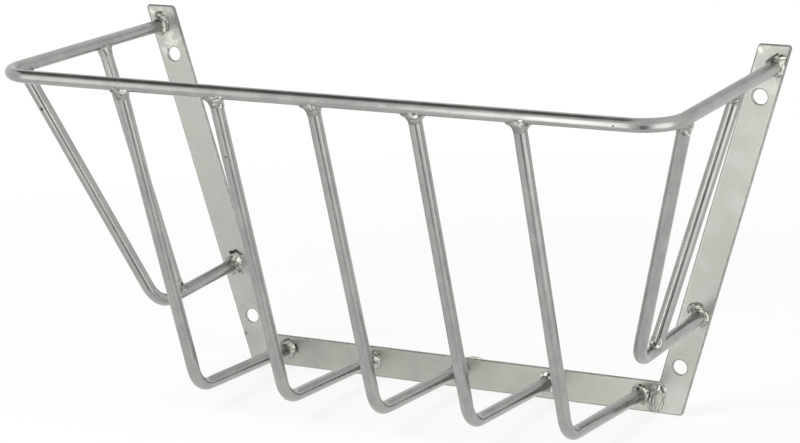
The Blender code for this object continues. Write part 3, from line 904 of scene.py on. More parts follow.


# Ridges, folds and dark flaps of each collar as strokes over it, in millimetres across and up
# from the middle of the rod's foot. Each has a tint, from -1 for dark painted shade with some
# soot to 1 for a painted highlight, half its width and its points. A tint of 0 is a plain mound.
COLLAR_STROKES = {
    "weld_rim_to_left_strap": (
        (0, 1.8, ((-1.1, 8.1), (4.1, 6.7), (6.8, 3.2))),
        (0, 1.6, ((5.6, 1.7), (5.7, -3.4))),
        (-0.55, 1.2, ((-3.5, 7.1), (-2.4, 10.1), (1.9, 10.7))),
        (-0.6, 0.9, ((-1.6, 7.2), (1.8, 5.2), (5.6, 3.4))),
        (0.15, 0.7, ((1.3, 7.1), (4.5, 5.5), (6.8, 4.0))),
        (0.2, 0.6, ((6.5, 6.5), (8.0, 2.4))),
        (0.65, 1.3, ((4.5, 3.0), (5.2, -0.3), (5.1, -4.2))),
        (-0.45, 0.6, ((7.3, 0.8), (7.4, -4.2))),
    ),
    "weld_rim_to_right_strap": (
        (0, 1.5, ((0.1, 6.9), (3.1, 7.4), (6.2, 5.1))),
        (0, 1.4, ((2.8, -5.3), (4.8, -4.6))),
        (-0.75, 0.8, ((-6.5, 3.5), (-3.0, 6.7), (1.9, 9.9))),
        (-0.8, 0.7, ((3.3, 7.8), (4.6, 9.2), (6.1, 8.4))),
        (1.0, 1.1, ((4.2, 6.7), (7.3, 7.3))),
        (0.65, 1.6, ((5.4, 4.3), (6.1, 0.8), (4.5, -3.6))),
        (-0.4, 0.9, ((0.0, 5.4), (2.4, 4.6))),
    ),
    "weld_front_bar_1_to_cross_strap": (
        (0, 1.9, ((-1.4, 6.0), (2.9, 6.0), (7.3, 3.0))),
        (0, 1.6, ((6.5, -0.4), (4.1, -5.9))),
        (-0.65, 1.0, ((-2.3, 6.6), (0.0, 8.1), (1.9, 8.7))),
        (-0.5, 0.8, ((4.2, 7.5), (5.9, 6.8))),
        (0.2, 1.2, ((2.7, 5.0), (4.6, 3.1), (5.7, 1.5))),
        (0.35, 0.9, ((6.0, 4.1), (7.3, 2.1))),
        (-1.0, 0.8, ((8.4, 5.2), (9.7, 2.4), (10.0, -1.0))),
    ),
    "weld_front_bar_2_to_cross_strap": (
        (0, 1.8, ((3.4, 5.7), (6.3, 3.9), (8.0, 0.3))),
        (0, 1.6, ((7.5, -2.3), (5.6, -5.9))),
        (-0.55, 0.9, ((1.9, 7.6), (3.4, 5.7), (5.1, 4.6), (7.8, 5.3))),
        (0.9, 1.1, ((4.5, 2.7), (4.9, 1.7))),
        (0.7, 0.8, ((6.1, 2.5), (7.6, 1.1))),
        (-0.35, 0.7, ((5.7, -0.4), (7.0, -2.8))),
        (0.3, 0.7, ((5.5, -3.2), (4.2, -6.0))),
    ),
    "weld_front_bar_4_to_cross_strap": (
        (0, 1.8, ((-5.6, 4.8), (-1.0, 6.3), (2.5, 4.7))),
        (0, 1.3, ((4.7, 2.5), (4.2, -4.3))),
        (0.3, 1.1, ((-6.5, 3.9), (-5.1, 6.5))),
        (1.0, 1.5, ((-1.7, 6.6), (-0.9, 7.3))),
        (-0.7, 1.0, ((-3.5, 3.8), (0.5, 5.2), (2.1, 7.4))),
        (-0.5, 0.8, ((-1.6, 5.0), (4.2, 3.1))),
        (0.55, 0.8, ((1.7, 4.9), (3.6, 3.8))),
        (0.6, 0.8, ((4.4, 2.8), (5.0, -1.5), (3.6, -6.3))),
    ),
    "weld_front_bar_5_to_cross_strap": (
        (0, 1.7, ((-3.3, 4.2), (0.3, 5.7), (3.8, 3.5), (5.8, -1.7))),
        (0, 1.3, ((-6.2, 1.6), (-5.4, 4.4), (-3.2, 6.3), (1.4, 6.9))),
        (0, 1.2, ((4.2, -4.3), (2.0, -7.3))),
        (-0.3, 0.6, ((-6.6, 1.5), (-6.2, 4.3), (-4.9, 6.0))),
        (0.15, 0.8, ((-4.6, 5.0), (-4.3, 3.8))),
        (-0.8, 0.7, ((-5.0, 2.4), (-4.4, 2.9))),
        (-0.95, 0.8, ((-2.2, 5.1), (-0.7, 5.5))),
        (0.2, 0.7, ((-2.1, 7.5), (-2.4, 6.8))),
        (-0.65, 0.6, ((-0.9, 7.2), (1.0, 7.1), (2.5, 6.5))),
        (0.2, 0.8, ((1.4, 5.9), (2.8, 5.8))),
        (0.95, 0.9, ((3.7, 5.0), (4.7, 3.6))),
        (0.5, 0.9, ((4.4, 2.9), (5.4, 1.6))),
        (-0.35, 0.5, ((5.9, 2.7), (6.9, 0.8))),
        (0.55, 0.7, ((6.0, 0.3), (6.2, -1.2))),
        (-0.6, 0.6, ((7.0, -0.7), (6.4, -3.4))),
        (-0.35, 0.5, ((4.0, -3.2), (2.4, -5.6))),
        (-0.35, 0.5, ((2.6, -4.5), (1.9, -7.0))),
    ),
    "weld_left_corner_bar_to_strap": (
        (0, 2.0, ((-0.5, 8.9), (4.2, 8.5), (7.4, 4.6), (7.5, -2.2))),
        (0, 1.8, ((3.3, 5.9), (5.3, 2.2))),
        (0, 1.4, ((3.6, -5.9), (7.3, -6.0))),
        (-0.95, 1.4, ((-1.4, 10.2), (1.0, 10.3), (3.5, 12.0))),
        (-0.85, 0.8, ((3.5, 12.2), (6.2, 10.8), (9.0, 9.3))),
        (0.5, 0.8, ((2.7, 7.0), (1.8, 5.3))),
        (0.95, 1.3, ((6.5, 5.2), (7.5, 4.4))),
        (-0.5, 0.5, ((3.1, 4.6), (5.4, 3.3))),
        (-0.45, 0.6, ((6.1, 1.3), (6.2, -0.4))),
        (-0.45, 0.6, ((5.0, -2.9), (7.4, -3.9))),
        (0.05, 0.7, ((4.7, 2.3), (5.2, -0.2))),
        (0.1, 0.8, ((7.7, 1.2), (7.4, -1.8))),
        (0.15, 1.1, ((4.9, -6.7), (7.8, -6.4))),
    ),
    "weld_right_corner_bar_to_strap": (
        (0, 1.7, ((-8.0, 5.5), (-4.8, 7.8), (-0.4, 7.5), (3.6, 4.1))),
        (0, 1.4, ((5.0, 1.3), (5.2, -1.2))),
        (-0.45, 0.6, ((-9.2, 2.2), (-9.6, 6.1), (-7.6, 9.0), (-3.6, 10.6), (-0.3, 10.2), (2.1, 8.9))),
        (0.1, 0.6, ((-8.0, 3.9), (-7.6, 6.7), (-6.0, 8.0))),
        (-0.45, 0.5, ((-6.0, 5.7), (-5.2, 7.7), (-2.0, 8.9))),
        (0.3, 0.6, ((-2.3, 6.9), (-1.4, 6.7))),
        (1.0, 1.3, ((1.4, 6.4), (2.3, 6.1))),
        (-0.6, 0.6, ((-1.1, 5.6), (0.1, 5.5))),
        (0.5, 1.7, ((2.6, 4.9), (4.5, 3.2), (5.4, 1.3), (6.3, -1.0))),
        (-0.55, 0.5, ((5.8, 2.1), (6.3, 0.6))),
        (-0.35, 1.0, ((-3.7, 4.1), (-2.8, 4.4))),
    ),
}
# the middle front bar's foot looks like its neighbour's
COLLAR_STROKES["weld_front_bar_3_to_cross_strap"] = COLLAR_STROKES["weld_front_bar_2_to_cross_strap"]


def collar_mesh(name, foot, seed):
    """Bead round a rod's end on a strap: a ragged fillet with its strokes laid over it.

    Ripples and a drip close it below.
    """
    sizes, welds = sizes_and_welds()
    chance = random.Random(seed)
    radius = sizes.rod_diameter / 2
    leg = welds.collar_leg

    def at(angle, reach, lift):
        return foot + ray(angle) * (radius + reach) + OUTWARD * lift

    def near_rod(place):
        return 1 - step(place.length - radius, 0.0, CLIMB_REACH)

    def ragged(angle):
        return 1 + COLLAR_RAGGED * math.sin(5 * angle + seed)

    work = bmesh.new()
    angles = [math.tau * k / BEAD_FACETS for k in range(BEAD_FACETS)]
    lofted(work, [[at(angle, leg * reach * ragged(angle), lift) for angle in angles]
                  for reach, lift in COLLAR_PROFILE])
    long, thick, proud = RIPPLE_SIZE
    for k in range(RIPPLE_COUNT):
        jitter = chance.uniform(-RIPPLE_JITTER, RIPPLE_JITTER)
        angle = math.radians(FIRST_RIPPLE + RIPPLE_TURN * k + jitter)
        size = chance.uniform(0.8, 1.1)
        dab(work, at(angle, leg * 0.35, 0.0008), (long * size, thick, proud * size),
            (ray(angle), ray(angle + math.pi / 2), OUTWARD))
    drip = at(math.radians(chance.uniform(*DRIP_ANGLES)), leg * 0.70, 0.0006)
    dab(work, drip, DRIP_SIZE, (ray(0), OUTWARD, ray(math.pi / 2)))
    strokes = in_metres(COLLAR_STROKES[name])
    for tint, half_wide, points in strokes:
        thick, rise = COLLAR_MOUND if tint == 0 else COLLAR_GLINT if tint > 0 else COLLAR_FOLD
        raised = []
        for first, last in zip(points, points[1:]):
            raised += [first.lerp(last, k / 4) for k in range(4)]
        raised = [place + OUTWARD * (STROKE_LIFT + STROKE_CLIMB * near_rod(place))
                  for place in raised + points[-1:]]
        stroke_dabs(work, foot, raised, half_wide, thick, rise, seed, lambda place: OUTWARD)
    return run_together(name, work, welds.grain, welds.collar_crinkle, seed, wandering_tint(strokes, foot))


# Strokes over the puddle on a seam, told as the collars' are, from the puddle's middle towards
# the side strap: dark painted shade in its pits and grooves below a tint of 0 and a painted
# highlight above it.
SEAM_STROKES = (
    (0, 1.5, ((-4.0, 6.5), (-4.6, 1.0), (-5.6, -3.0))),
    (0, 1.3, ((-1.2, 7.6), (-1.6, 2.6))),
    (0, 1.2, ((-5.9, -2.2), (-6.6, -9.2))),
    (-0.35, 0.6, ((-2.6, 7.6), (-3.2, 5.4))),
    (-0.3, 0.6, ((-0.5, 3.9), (-1.6, 2.7), (-3.0, -0.1))),
    (-0.4, 0.35, ((-6.5, 0.4), (-7.2, -2.5))),
    (-0.6, 0.5, ((-4.3, 1.1), (-3.9, -5.3), (-4.0, -10.9))),
    (-0.5, 0.5, ((-1.3, -0.2), (-1.6, -5.0), (-1.7, -10.6))),
    (0.2, 0.5, ((6.1, 8.4), (7.0, 4.4))),
    (0.9, 1.1, ((2.6, 9.2), (1.4, 6.9))),
    (-0.85, 0.75, ((3.7, 9.4), (4.1, 7.0), (5.2, 4.9))),
    (-0.8, 0.7, ((-4.9, -11.6), (-4.0, -11.4))),
)


def seam_mesh(name, side, seed):
    """Broad low puddle over a strap seam: soft strands that close in at its ends, and strokes."""
    sizes, welds = sizes_and_welds()
    chance = random.Random(seed)
    fall = Vector((side * SEAM_LEAN_SHARE * STRAP_SLOPE, 0, 1)).normalized()
    across = Vector((fall.z, 0, -fall.x)) * side
    middle = seam_middle(side)
    half = sizes.strap_width / 2 - SEAM_END_INSET
    half_wide = welds.seam_width / 2
    work = bmesh.new()
    phases = [chance.uniform(0, math.tau) for _ in SEAM_STRANDS]
    for (share, height, reach), phase in zip(SEAM_STRANDS, phases):
        for i in range(SEAM_DABS):
            t = 2 * i / (SEAM_DABS - 1) - 1
            bow = 1 - SEAM_CLOSING * t * t
            wander = STRAND_WANDER * math.sin(t * 5 + phase)
            place = middle + across * (share * half_wide * bow + wander) + fall * (half * reach * t)
            size = 1 + 0.05 * math.sin(t * 11 + phase)
            dab(work, place - OUTWARD * SEAM_DEPTH,
                (STRAND_HALF_WIDE * size, SEAM_DEPTH + height, STRAND_DAB_REACH), (across, OUTWARD, fall))
    strokes = in_metres(SEAM_STROKES, side)
    for tint, wide, points in strokes:
        if tint >= 0:
            thick = SEAM_MOUND_THICK if tint == 0 else SEAM_GLINT_THICK
            stroke_dabs(work, middle, points, wide, thick, SEAM_STROKE_RISE, seed, lambda place: OUTWARD)
    return run_together(name, work, welds.grain * 1.15, welds.collar_crinkle * 0.3, seed,
                        wandering_tint(strokes, middle))


def spatter_mesh(name, place, reach, tint, seed):
    """A smooth drop of weld metal that set where it fell, with a smaller one at its side."""
    welds = bpy.context.scene.hay_rack_welds
    work = bmesh.new()
    beside = Vector((reach[0] * 0.35, 0, -reach[2] * 0.25))
    for centre, share, tip in ((place, 1.0, 0.03), (place + beside, 0.8, -0.10)):
        dab(work, centre, [size * share for size in reach],
            (Vector((1, 0, tip)), OUTWARD, Vector((0, 0, 1))))
    return run_together(name, work, welds.grain, 0.0, seed, lambda point: tint)


# Materials

def new_metal(name):
    """A new metal, its nodes and its shader."""
    material = bpy.data.materials.new(name)
    material.use_nodes = True
    tree = material.node_tree
    shader = tree.nodes["Principled BSDF"]
    shader.inputs["Metallic"].default_value = 1.0
    return material, tree, shader


def end_metal(tree, shader, tone, rough, normal):
    """Links a metal's colour, roughness and bumps to its shader."""
    tree.links.new(tone, shader.inputs["Base Color"])
    tree.links.new(rough, shader.inputs["Roughness"])
    tree.links.new(normal, shader.inputs["Normal"])


def object_place(tree):
    """A point's place on its object, which for the rack's pieces is its place in the frame."""
    return tree.nodes.new("ShaderNodeTexCoord").outputs["Object"]


def kept(tree, name, output="Fac"):
    """What a mesh keeps on its points under a name."""
    made = tree.nodes.new("ShaderNodeAttribute")
    made.attribute_name = name
    return made.outputs[output]


def split(tree, vector):
    """A vector's three numbers."""
    made = tree.nodes.new("ShaderNodeSeparateXYZ")
    tree.links.new(vector, made.inputs[0])
    return made.outputs


def fill(tree, socket, value):
    """Gives a socket its value: another socket to link, or a plain value."""
    if hasattr(value, "node"):
        tree.links.new(value, socket)
    else:
        socket.default_value = value


def maths(tree, operation, first, second=None):
    """An operation on one or two values, each a socket or a number."""
    made = tree.nodes.new("ShaderNodeMath")
    made.operation = operation
    fill(tree, made.inputs[0], first)
    if second is not None:
        fill(tree, made.inputs[1], second)
    return made.outputs[0]


def plus(tree, first, second):
    """One value and another."""
    return maths(tree, "ADD", first, second)


def times(tree, first, second):
    """One value times another."""
    return maths(tree, "MULTIPLY", first, second)


def outermost(tree, operation, values):
    """The least or the greatest of some values."""
    most = values[0]
    for value in values[1:]:
        most = maths(tree, operation, most, value)
    return most


def ranged(tree, value, low, high, to_low=0.0, to_high=1.0, smooth=True):
    """A value moved from one range to another and held inside it."""
    made = tree.nodes.new("ShaderNodeMapRange")
    made.interpolation_type = "SMOOTHSTEP" if smooth else "LINEAR"
    tree.links.new(value, made.inputs["Value"])
    for key, number in (("From Min", low), ("From Max", high), ("To Min", to_low), ("To Max", to_high)):
        made.inputs[key].default_value = number
    return made.outputs["Result"]


def blended(tree, share, first, second):
    """Mixes two colours, each a socket or four numbers, by a share."""
    made = tree.nodes.new("ShaderNodeMix")
    made.data_type = "RGBA"
    for number, value in ((0, share), (6, first), (7, second)):
        fill(tree, made.inputs[number], value)
    return made.outputs[2]


def veiled(tree, tone, share, amount, colour):
    """A tone with a colour laid over it, by a share times an amount."""
    return blended(tree, times(tree, share, amount), tone, colour)


def shade(colour, factor, warm=0.0):
    """A colour made lighter or darker, and warmer or cooler."""
    red, green, blue = colour
    return (min(red * factor * (1 + warm), 1), min(green * factor, 1),
            min(blue * factor * (1 - warm), 1), 1)


def noise_at(tree, place, scale, detail, roughness, stretch=None):
    """Noise from 0 to 1 at a place. Where a stretch is under 1, its grains are longer."""
    if stretch:
        mapping = tree.nodes.new("ShaderNodeMapping")
        mapping.inputs["Scale"].default_value = stretch
        tree.links.new(place, mapping.inputs["Vector"])
        place = mapping.outputs["Vector"]
    made = tree.nodes.new("ShaderNodeTexNoise")
    made.inputs["Scale"].default_value = scale
    made.inputs["Detail"].default_value = detail
    made.inputs["Roughness"].default_value = roughness
    tree.links.new(place, made.inputs["Vector"])
    return made.outputs["Fac"]


def bumped(tree, height, distance, strength, normal=None):
    """A surface's way out, bumped by a height over the way that it had."""
    made = tree.nodes.new("ShaderNodeBump")
    made.inputs["Strength"].default_value = strength
    made.inputs["Distance"].default_value = distance
    tree.links.new(height, made.inputs["Height"])
    if normal is not None:
        tree.links.new(normal, made.inputs["Normal"])
    return made.outputs["Normal"]


def gap_to(tree, place, centre):
    """How far a place is from a fixed one."""
    made = tree.nodes.new("ShaderNodeVectorMath")
    made.operation = "DISTANCE"
    tree.links.new(place, made.inputs[0])
    made.inputs[1].default_value = centre
    return made.outputs["Value"]


def weld_heat(tree, place, welds, reach):
    """How near a place is to the nearest weld, 1 at it and 0 beyond the reach."""
    nearest = outermost(tree, "MINIMUM", [gap_to(tree, place, weld) for weld in welds])
    return ranged(tree, nearest, reach, HEAT_CORE)


# The share of a mark's radius at which it is full, where the welds' heat left its full haze,
# and how far the haze reaches on rods and straps
MARK_CORE = 0.3
HEAT_CORE = 0.005
ROD_HEAT_REACH = 0.016
STRAP_HEAT_REACH = 0.013

# Heights between which the painted highlights near the side straps' tops and their darker rolled edges
# come in
HIGHLIGHT_HEIGHTS = (0.225, 0.268)
END_HEIGHTS = (0.235, 0.265)

# Small dark nicks and scuffs that the rods and straps picked up: place and radius
ROD_NICKS = (
    ((-0.2578, -0.1833, 0.2293), 0.0024),
    ((-0.0788, -0.2111, 0.2127), 0.0012),
    ((0.2321, -0.2270, 0.2626), 0.0011),
    ((-0.2645, -0.1755, 0.2601), 0.0015),
)
STRAP_NICKS = (
    ((-0.1947, -0.0030, 0.0105), 0.0022),
    ((0.0096, -0.0030, 0.0042), 0.0017),
)

# Soft patches near the straps' tops, darker below a tint of 0 and painted highlights above it: place,
# radius and tint from -1 to 1
STRAP_PATCHES = (
    ((-0.2462, -0.0030, 0.2680), 0.0100, -0.50),
    ((-0.2516, -0.0030, 0.2530), 0.0095, 0.55),
    ((-0.2580, -0.0030, 0.2450), 0.0070, 0.50),
    ((-0.2700, -0.0030, 0.2745), 0.0035, 0.60),
    ((0.2512, -0.0030, 0.2745), 0.0040, 0.75),
)


def marks(tree, place, spots):
    """1 in the middle of any of the small marks and 0 outside them all."""
    return outermost(tree, "MAXIMUM", [
        ranged(tree, gap_to(tree, place, centre), reach, reach * MARK_CORE) for centre, reach in spots])


def rod_steel(name, colour, roughness, welds):
    """Satin drawn rod: fine lines along it, soft mottling and a duller haze by the welds."""
    material, tree, shader = new_metal(name)
    along = kept(tree, "stock_place", "Vector")
    place = object_place(tree)
    lines = noise_at(tree, along, scale=900, detail=3, roughness=0.6, stretch=(0.035, 1, 1))
    mottle = noise_at(tree, along, scale=130, detail=4, roughness=0.6, stretch=(0.45, 1, 1))
    speck = noise_at(tree, along, scale=1500, detail=2, roughness=0.5)
    cloud = noise_at(tree, place, scale=28, detail=3, roughness=0.5)
    smudge = noise_at(tree, place, scale=240, detail=3, roughness=0.6)
    haze = times(tree, weld_heat(tree, place, welds, ROD_HEAT_REACH), ranged(tree, smudge, 0.35, 0.65))
    tone = blended(tree, ranged(tree, mottle, 0.38, 0.64), shade(colour, 0.92, -0.01), shade(colour, 1.07))
    tone = veiled(tree, tone, ranged(tree, lines, 0.40, 0.68), 0.22, shade(colour, 1.22))
    tone = veiled(tree, tone, ranged(tree, speck, 0.60, 0.74), 0.20, shade(colour, 0.72))
    tone = veiled(tree, tone, haze, 0.22, shade(colour, 0.66, 0.04))
    tone = blended(tree, marks(tree, place, ROD_NICKS), tone, shade(colour, 0.18))
    uneven = plus(tree, cloud, times(tree, mottle, 0.7))
    rough = ranged(tree, uneven, 0.65, 1.05, roughness - 0.04, roughness + 0.05)
    rough = plus(tree, rough, times(tree, haze, 0.06))
    wave = bumped(tree, mottle, distance=0.00014, strength=0.055)
    fine = bumped(tree, lines, distance=0.00003, strength=0.10, normal=wave)
    finest = bumped(tree, speck, distance=0.00002, strength=0.04, normal=fine)
    end_metal(tree, shader, tone, rough, finest)
    return material


def strap_steel(name, colour, roughness, welds):
    """Rolled flat bar: faint mill lines, soft clouds, weld smut, painted highlights near the side straps'
    tops and beside the rolled edges, painted shade on the rolled edges and darker edges near the tops.
    """
    material, tree, shader = new_metal(name)
    place = object_place(tree)
    height = split(tree, place)["Z"]
    edge = kept(tree, "edge_share")
    cloud = noise_at(tree, place, scale=42, detail=4, roughness=0.55)
    mottle = noise_at(tree, place, scale=220, detail=4, roughness=0.6)
    lines = noise_at(tree, place, scale=700, detail=2, roughness=0.5, stretch=(1, 1, 0.05))
    speck = noise_at(tree, place, scale=1300, detail=2, roughness=0.5)
    smudge = noise_at(tree, place, scale=170, detail=3, roughness=0.65)
    highlight_breakup = noise_at(tree, place, scale=130, detail=4, roughness=0.6)
    smut_and_shade = times(tree, weld_heat(tree, place, welds, STRAP_HEAT_REACH), ranged(tree, smudge, 0.40, 0.62))
    top_highlight = times(tree, ranged(tree, height, *HIGHLIGHT_HEIGHTS), ranged(tree, highlight_breakup, 0.50, 0.62))
    painted_edge_highlight = times(tree, ranged(tree, edge, 0.05, 0.40), ranged(tree, edge, 0.95, 0.55))
    on_rolled_edge = ranged(tree, edge, 0.60, 1.0)
    end = times(tree, ranged(tree, height, *END_HEIGHTS), on_rolled_edge)
    painted_edge_shade = times(tree, on_rolled_edge, ranged(tree, mottle, 0.30, 0.62, 0.80, 0.25))
    tone = blended(tree, ranged(tree, cloud, 0.34, 0.66),
                   shade(colour, 0.94, -0.01), shade(colour, 1.06, 0.01))
    tone = veiled(tree, tone, ranged(tree, mottle, 0.34, 0.60), 0.25, shade(colour, 1.12))
    tone = veiled(tree, tone, ranged(tree, speck, 0.62, 0.76), 0.25, shade(colour, 0.72))
    # a painted highlight in broken patches near the side straps' tops
    tone = veiled(tree, tone, top_highlight, 0.55, shade(colour, 1.45))
    # a painted highlight in a band beside the rolled edges, and painted shade on the edges themselves
    tone = veiled(tree, tone, painted_edge_highlight, 0.40, shade(colour, 1.20))
    tone = blended(tree, painted_edge_shade, tone, shade(colour, 0.62))
    # darker rolled edges near the side straps' tops
    tone = veiled(tree, tone, end, 0.55, shade(colour, 0.35))
    tone = veiled(tree, tone, smut_and_shade, 0.12, shade(colour, 0.52, 0.03))
    # pale patches painted as highlights, and darker patches, near the straps' tops
    for centre, reach, tint in STRAP_PATCHES:
        patch = times(tree, marks(tree, place, [(centre, reach)]),
                      ranged(tree, mottle, 0.36, 0.56, 0.0, abs(tint)))
        tone = blended(tree, patch, tone, shade(colour, 1.9 if tint > 0 else 0.45))
    tone = veiled(tree, tone, marks(tree, place, STRAP_NICKS), 0.75, shade(colour, 0.30))
    rough = ranged(tree, cloud, 0.34, 0.66, roughness - 0.05, roughness + 0.05)
    rough = plus(tree, rough, times(tree, smut_and_shade, 0.10))
    wave = bumped(tree, cloud, distance=0.0012, strength=0.20)
    soft = bumped(tree, mottle, distance=0.00018, strength=0.30, normal=wave)
    fine = bumped(tree, lines, distance=0.00004, strength=0.30, normal=soft)
    finest = bumped(tree, speck, distance=0.00004, strength=0.25, normal=fine)
    end_metal(tree, shader, tone, rough, finest)
    return material


def weld_steel(name, colour, roughness):
    """Weld metal: patches of grey scale, painted highlights on ridges and flakes, painted shade in folds,
    and dark painted shade with some soot.
    """
    material, tree, shader = new_metal(name)
    place = object_place(tree)
    crevice = kept(tree, "crevice")
    tint = kept(tree, "tint")
    painted_fold_shade = ranged(tree, crevice, 0.25, 1.0)
    proud = ranged(tree, crevice, -0.30, -1.1)
    painted_shade_and_soot = ranged(tree, tint, 0.0, -1.0, smooth=False)
    painted_glint = ranged(tree, tint, 0.0, 1.0, smooth=False)
    scale = ranged(tree, noise_at(tree, place, scale=260, detail=4, roughness=0.6), 0.44, 0.62)
    grain = noise_at(tree, place, scale=1100, detail=3, roughness=0.6)
    tone = blended(tree, scale, shade(colour, 1.05), shade(colour, 0.86, 0.01))
    # painted highlight on the ridges and painted shade in the folds, by the crevice kept on each point
    tone = veiled(tree, tone, proud, 0.22, shade(colour, 1.5))
    tone = veiled(tree, tone, painted_fold_shade, 0.55, shade(colour, 0.30, 0.03))
    # dark painted shade with some soot where the tint is under 0, and a painted highlight where it is over
    # 0
    tone = blended(tree, painted_shade_and_soot, tone, shade(colour, 0.06, 0.01))
    tone = blended(tree, painted_glint, tone, shade(colour, 2.6))
    rough = plus(tree, times(tree, maths(tree, "MAXIMUM", painted_fold_shade, painted_shade_and_soot), 0.25),
                 plus(tree, times(tree, scale, 0.10), roughness - 0.03))
    end_metal(tree, shader, tone, rough, bumped(tree, grain, distance=0.00010, strength=0.35))
    return material


def weld_spots(seams):
    """The middle of every weld, with or without the seams, for the haze that its heat left."""
    spots = []
    for side, _ in SIDES:
        spots += [arm_point(side, 0), arm_point(side, SIDE_TOP_DEPTH), side_bar_ends(side)[1]]
    bars = [front_bar_corners(number) for number in FRONT_BARS]
    bars += [corner_bar_corners(side) for side, _ in SIDES]
    for top, _, foot in bars:
        spots += [top, foot]
    if seams:
        spots += [seam_middle(side) for side, _ in SIDES]
    return spots


def steel(name):
    """The named finish, made the first time that it is asked for."""
    made = bpy.data.materials.get(name)
    if made:
        return made
    finish = bpy.context.scene.hay_rack_finish
    if name == "drawn_rod_steel":
        return rod_steel(name, finish.rod_colour, finish.rod_roughness, weld_spots(seams=True))
    if name == "weld_bead_steel":
        return weld_steel(name, finish.weld_colour, finish.weld_roughness)
    colour = finish.cross_colour if name == "rolled_cross_strap_steel" else finish.strap_colour
    return strap_steel(name, colour, finish.strap_roughness, weld_spots(seams=False))


# Pieces

def add_rod(name, corners, bend_radius, shift):
    """Sweeps a rod and dresses its node. The shift picks the stretch of stock that it shows."""
    sizes = bpy.context.scene.hay_rack_sizes
    mesh = swept_rod(name, bent_path(corners, bend_radius), sizes.rod_diameter, sizes.rod_sides, shift)
    return new_piece(f"dressed_{name}", mesh, steel("drawn_rod_steel"), "rod_steel", name)


def sunk(corners, start, end):
    """A path's corners with its ends moved along it: in at the start, on at the end."""
    first = corners[0] + (corners[1] - corners[0]).normalized() * start
    last = corners[-1] + (corners[-1] - corners[-2]).normalized() * end
    return [first] + corners[1:-1] + [last]


class HAYRACK_OT_rim(bpy.types.Operator):
    """Sweep the U-shaped rim rod round its two corners"""

    bl_idname = "hay_rack.rim"
    bl_label = "Rim Rod"

    def execute(self, context):
        sizes = context.scene.hay_rack_sizes
        add_rod("rim_rod", sunk(rim_corners(), -END_IN_STRAP, END_IN_STRAP), sizes.rim_bend_radius, 0.0)
        return {"FINISHED"}


class HAYRACK_OT_front_bars(bpy.types.Operator):
    """Sweep the bars that hang from the front of the rim"""

    bl_idname = "hay_rack.front_bars"
    bl_label = "Front Bars"

    def execute(self, context):
        sizes = context.scene.hay_rack_sizes
        for number in FRONT_BARS:
            corners = sunk(front_bar_corners(number), END_IN_ROD, END_IN_STRAP)
            add_rod(f"front_bar_{number}", corners, sizes.bar_bend_radius, FRONT_STOCK_STEP * number)
        return {"FINISHED"}


class HAYRACK_OT_corner_bars(bpy.types.Operator):
    """Sweep the bent bars by the rim's corners"""

    bl_idname = "hay_rack.corner_bars"
    bl_label = "Corner Bars"

    def execute(self, context):
        sizes = context.scene.hay_rack_sizes
        for side, hand in SIDES:
            corners = sunk(corner_bar_corners(side), END_IN_ROD, END_IN_STRAP)
            shift = CORNER_STOCK + CORNER_STOCK_STEP * side
            add_rod(f"{hand}_corner_bar", corners, sizes.bar_bend_radius, shift)
        return {"FINISHED"}


class HAYRACK_OT_side_bars(bpy.types.Operator):
    """Sweep the short bars under the rim's arms"""

    bl_idname = "hay_rack.side_bars"
    bl_label = "Side Bars"

    def execute(self, context):
        sizes = context.scene.hay_rack_sizes
        for side, hand in SIDES:
            corners = sunk(side_bar_ends(side), END_IN_ROD, -END_IN_ROD)
            shift = SIDE_STOCK + SIDE_STOCK_STEP * side
            add_rod(f"{hand}_side_bar", corners, sizes.bar_bend_radius, shift)
        return {"FINISHED"}


class HAYRACK_OT_mounting_straps(bpy.types.Operator):
    """Cut the two leaning straps, each with two screw holes"""

    bl_idname = "hay_rack.mounting_straps"
    bl_label = "Mounting Straps"

    def execute(self, context):
        sizes = context.scene.hay_rack_sizes
        foot = -sizes.strap_width / 2
        cut = sizes.strap_corner_radius
        for side, hand in SIDES:
            corners = [Vector((side * strap_inner_x(foot), 0, foot)),
                       Vector((side * strap_outer_x(foot), 0, foot)),
                       Vector((side * strap_outer_x(STRAP_TOP_HEIGHT), 0, STRAP_TOP_HEIGHT)),
                       Vector((side * strap_inner_x(STRAP_TOP_HEIGHT), 0, STRAP_TOP_HEIGHT))]
            radii = [SEAM_CORNER, cut, cut, cut]
            if side < 0:
                # the left strap's corners are taken the other way round to run anticlockwise
                corners = [corners[1], corners[0], corners[3], corners[2]]
                radii = [cut, SEAM_CORNER, cut * LEFT_TOP_ROUNDER, cut]
            holes = [(Vector((side * strap_centre_x(height), 0, height)), sizes.screw_hole_diameter / 2)
                     for height in (UPPER_HOLE_HEIGHT, LOWER_HOLE_HEIGHT)]
            name = f"{hand}_mounting_strap"
            mesh = strap_mesh(name, corners, radii, holes)
            new_piece(f"dressed_{name}", mesh, steel("rolled_strap_steel"), "strap_steel", name)
        return {"FINISHED"}


class HAYRACK_OT_cross_strap(bpy.types.Operator):
    """Cut the strap that joins the feet of the mounting straps"""

    bl_idname = "hay_rack.cross_strap"
    bl_label = "Cross Strap"

    def execute(self, context):
        foot = -context.scene.hay_rack_sizes.strap_width / 2
        gap = FIT_GAP / math.cos(STRAP_LEAN)
        low_x = strap_inner_x(foot) - gap
        high_x = strap_inner_x(-foot) - gap
        corners = [Vector((-low_x, 0, foot)), Vector((low_x, 0, foot)),
                   Vector((high_x, 0, -foot)), Vector((-high_x, 0, -foot))]
        name = "cross_strap"
        mesh = strap_mesh(name, corners, [SEAM_CORNER] * 4, [])
        new_piece(f"dressed_{name}", mesh, steel("rolled_cross_strap_steel"), "strap_steel", name)
        return {"FINISHED"}


def add_weld(name, mesh):
    """Dresses a weld's node with its bead."""
    return new_piece(f"dressed_{name}", mesh, steel("weld_bead_steel"), "weld_metal", name)


